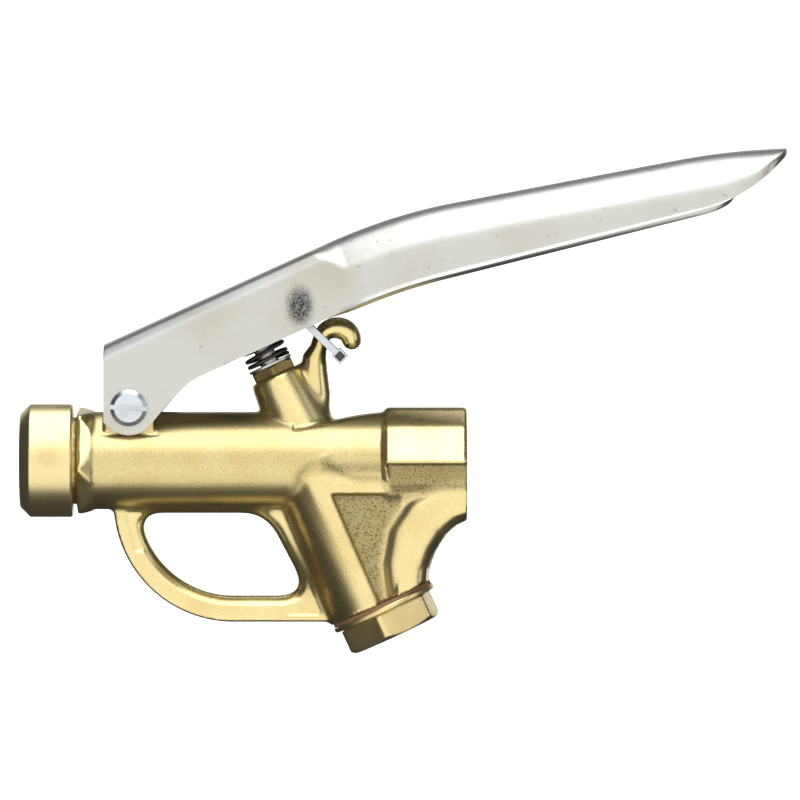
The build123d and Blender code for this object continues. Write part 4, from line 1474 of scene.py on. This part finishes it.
@dataclass
class Studio:
    """Plain pale floor and backdrop, soft boxes, and the camera."""

    distance: float = 3.0
    azimuth: float = 0.0
    elevation: float = 1.0
    span: float = 0.240
    aim: tuple[float, float, float] = (-0.0201, 0.0, 0.01815)
    floor_z: float = -0.42
    backdrop_y: float = 3.0
    sheet_size: float = 12.0
    glow: float = 1.2
    sensor: float = 36.0
    lamps: tuple[SoftBox, ...] = (
        SoftBox("overhead", (0.0, -0.55, 1.10), (2.4, 1.1), (0.0, -0.55), 21.0, (0.93, 0.96, 1.0)),
        SoftBox("front", (0.0, -1.4, 0.25), (2.6, 1.4), (0.0, 0.0), 13.0, (1.0, 0.98, 0.94)),
        SoftBox("low", (0.0, -1.0, -0.75), (2.4, 1.0), (0.0, 0.0), 9.0, (1.0, 0.98, 0.93)),
        SoftBox("behind", (0.0, 1.3, 0.15), (2.0, 0.8), (0.0, 0.0), 5.0, (0.95, 0.97, 1.0)),
        SoftBox("right", (1.2, -0.5, 0.3), (0.5, 1.0), (0.0, 0.0), 2.5, (0.95, 0.98, 1.0)),
    )

    def sheet(self, name: str, place: tuple, turn: tuple) -> None:
        """A flat stage sheet with a pale, slightly uneven finish.

        Args:
            name: the sheet's name.
            place: its middle, in metres.
            turn: its turn about X, Y and Z.
        """
        mesh = bpy.data.meshes.new(name)
        h = self.sheet_size / 2
        mesh.from_pydata([(-h, -h, 0), (h, -h, 0), (h, h, 0), (-h, h, 0)], [], [(0, 1, 2, 3)])
        shader = Shader(f"{name}_paper")
        tone = shader.ramp(shader.noise(shader.place(), 3.0), 0.2, 0.8)
        paper = shader.mix(tone, (0.93, 0.93, 0.93, 1.0), (0.95, 0.95, 0.95, 1.0))
        shader.set(Base_Color=paper, Roughness=0.9, Emission_Color=(1.0, 1.0, 1.0, 1.0))
        shader.set(Emission_Strength=self.glow)
        mesh.materials.append(shader.material)
        sheet = bpy.data.objects.new(name, mesh)
        sheet.location = place
        sheet.rotation_euler = turn
        sheet.visible_glossy = False
        sheet.visible_diffuse = False
        sheet.visible_shadow = False
        bpy.context.scene.collection.objects.link(sheet)

    def build(self) -> None:
        """Sets the floor, the backdrop, the lights and the camera."""
        scene = bpy.context.scene
        self.sheet("floor", (0.0, 0.0, self.floor_z), (0.0, 0.0, 0.0))
        self.sheet("backdrop", (0.0, self.backdrop_y, 0.0), (math.pi / 2, 0.0, 0.0))
        world = bpy.data.worlds.new("studio")
        world.use_nodes = True
        world.node_tree.nodes["Background"].inputs[0].default_value = (0.9, 0.95, 1.0, 1.0)
        world.node_tree.nodes["Background"].inputs[1].default_value = 0.05
        scene.world = world
        for lamp in self.lamps:
            lamp.build()
        camera = bpy.data.cameras.new("camera")
        camera.sensor_width = self.sensor
        camera.lens = self.sensor * self.distance / self.span
        camera.clip_start = 0.05
        eye = bpy.data.objects.new("camera", camera)
        turn, rise = math.radians(self.azimuth), math.radians(self.elevation)
        level = math.cos(rise)
        offset = np.array([-math.sin(turn) * level, -math.cos(turn) * level, math.sin(rise)])
        eye.location = np.array(self.aim) + self.distance * offset
        eye.rotation_euler = (math.pi / 2 - rise, 0.0, -turn)
        scene.collection.objects.link(eye)
        scene.camera = eye
        scene.view_settings.view_transform = "Standard"


class Workshop:
    """Builds and dresses the whole nozzle in order."""

    def __init__(self) -> None:
        """Makes every finish once. Fine rings are stretched about the axis that a piece turns on."""
        fine, coarse = 5200.0, 60.0
        about_run, about_valve = (fine, coarse, coarse), (coarse, coarse, fine)
        self.cast = CastBrass().material()
        self.nickel = NickelPlate().material()
        self.turned_run = Turned(
            "turned_brass_run", (0.83, 0.70, 0.37, 1), (0.62, 0.47, 0.20, 1), about_run
        ).material()
        self.turned_valve = Turned(
            "turned_brass_valve", (0.80, 0.66, 0.33, 1), (0.60, 0.45, 0.19, 1), about_valve, TILT
        ).material()
        self.dark_brass = Turned(
            "aged_brass", (0.30, 0.22, 0.09, 1), (0.10, 0.075, 0.04, 1), about_valve, TILT, 0.35
        ).material()
        self.stainless = Turned(
            "stainless", (0.60, 0.60, 0.60, 1), (0.42, 0.41, 0.40, 1), about_valve, TILT
        ).material()
        self.steel = Turned(
            "plated_steel", (0.66, 0.71, 0.76, 1), (0.45, 0.48, 0.52, 1), (900.0,) * 3, roughness=0.3
        ).material()
        self.spring = Plain(
            "spring_steel", (0.10, 0.09, 0.08, 1), (0.04, 0.035, 0.03, 1), 0.9, 0.35
        ).material()
        self.rubber = Plain(
            "black_rubber", (0.02, 0.02, 0.02, 1), (0.05, 0.05, 0.048, 1), 0.0, 0.55
        ).material()
        self.seal = Plain("packing", (0.78, 0.76, 0.70, 1), (0.60, 0.57, 0.50, 1), 0.0, 0.5).material()
        self.gasket = Plain(
            "gasket_fibre", (0.30, 0.16, 0.09, 1), (0.18, 0.09, 0.05, 1), 0.0, 0.7
        ).material()

    def nozzle(self) -> None:
        """The casting, its thread and the outlet ring."""
        Casting().build(self.cast)
        InletThread().build(self.turned_run)
        Outlet().build(self.turned_run)

    def hexagons(self) -> None:
        """The plug, with its flange and hollow spigot, and the gland nut."""
        Nut(
            "plug_hexagon", "bottom_plug", "turned_brass", VALVE_AXIS, -57.6, -49.6, 27.0, 0.01,
            turn=math.radians(-10), cut_high=False, sharpness=46.0, around=192,
            extra=[
                (15.9, -49.6, 0.1), (16.3, -49.3, 0.2), (16.3, -48.2, 0.2), (16.0, -47.9, 0.1),
                (11.5, -47.9, 0.1), (11.5, -36.9, 0.3), (8.6, -36.9, 0.3), (8.6, -46.6, 0.3),
            ],
        ).build(self.turned_valve)
        Nut(
            "gland_hexagon", "gland_nut", "inner_brass", VALVE_AXIS, 28.4, 31.4, 12.6, 3.1,
            cut_low=False,
        ).build(self.dark_brass)

    def springs(self) -> None:
        """The return spring and the closing spring."""
        Spring("return_coil", "return_spring", 32.2, 51.9, 6.75, 1.2, 2.6, 32.2).build(self.spring)
        Spring("closing_coil", "closing_spring", -46.6, -23.3, 7.6, 1.3, 3.4, -46.6).build(self.spring)

    def lever(self) -> None:
        """The lever's shell."""
        LeverShell().build(self.nickel)

    def hardware(self) -> None:
        """Small turned and stamped pieces that keep their CAD shape."""
        plan = [
            ("pivot_screw", 0.25, Body.NOZZLE, "zinc_steel", self.steel),
            ("pivot_nut", 0.2, Body.NOZZLE, "zinc_steel", self.steel),
            ("pivot_lock_washer", 0.1, Body.NOZZLE, "zinc_steel", self.steel),
            ("pivot_bush", 0.15, Body.NOZZLE, "inner_brass", self.turned_run),
            ("pivot_washers", 0.08, Body.NOZZLE, "sealing", self.seal),
            ("keeper_pin", 0.25, Body.LEVER, "zinc_steel", self.steel),
            ("keeper_links", 0.2, Body.KEEPER, "zinc_steel", self.steel),
            ("keeper_bar", 0.25, Body.KEEPER, "zinc_steel", self.spring),
            ("gland_washer", 0.15, Body.NOZZLE, "stainless", self.stainless),
            ("spring_cap", 0.2, Body.STEM, "stainless", self.stainless),
            ("cap_clip", 0.1, Body.STEM, "spring_steel", self.spring),
            ("jet_insert", 0.2, Body.NOZZLE, "turned_brass", self.turned_run),
            ("plug_gasket", 0.15, Body.NOZZLE, "sealing", self.gasket),
        ]
        for node, width, body, slot, finish in plan:
            softened(node, width, body, finish)

    def inner_pieces(self) -> None:
        """CAD nodes inside the body, which keep their own mesh and get a finish."""
        finishes = {
            "valve_stem": self.stainless,
            "valve_seat": self.turned_valve,
            "valve_disc": self.turned_valve,
            "disc_nut": self.turned_valve,
            "disc_seal": self.rubber,
            "jet_washer": self.rubber,
            "stem_packing": self.seal,
        }
        for node, finish in finishes.items():
            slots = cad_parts[node].material_slots
            if not slots:
                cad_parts[node].data.materials.append(finish)
            for slot in slots:
                slot.material = finish
            LOG.info("%s: keeps its CAD mesh", node)


def main() -> None:
    """Builds every sub-assembly in order, then the studio."""
    logging.basicConfig(level=logging.INFO, format="%(name)s: %(message)s")
    shop = Workshop()
    shop.nozzle()
    shop.hexagons()
    shop.springs()
    shop.lever()
    shop.hardware()
    shop.inner_pieces()
    Studio().build()
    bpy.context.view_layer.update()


if __name__ == "__main__":
    main()
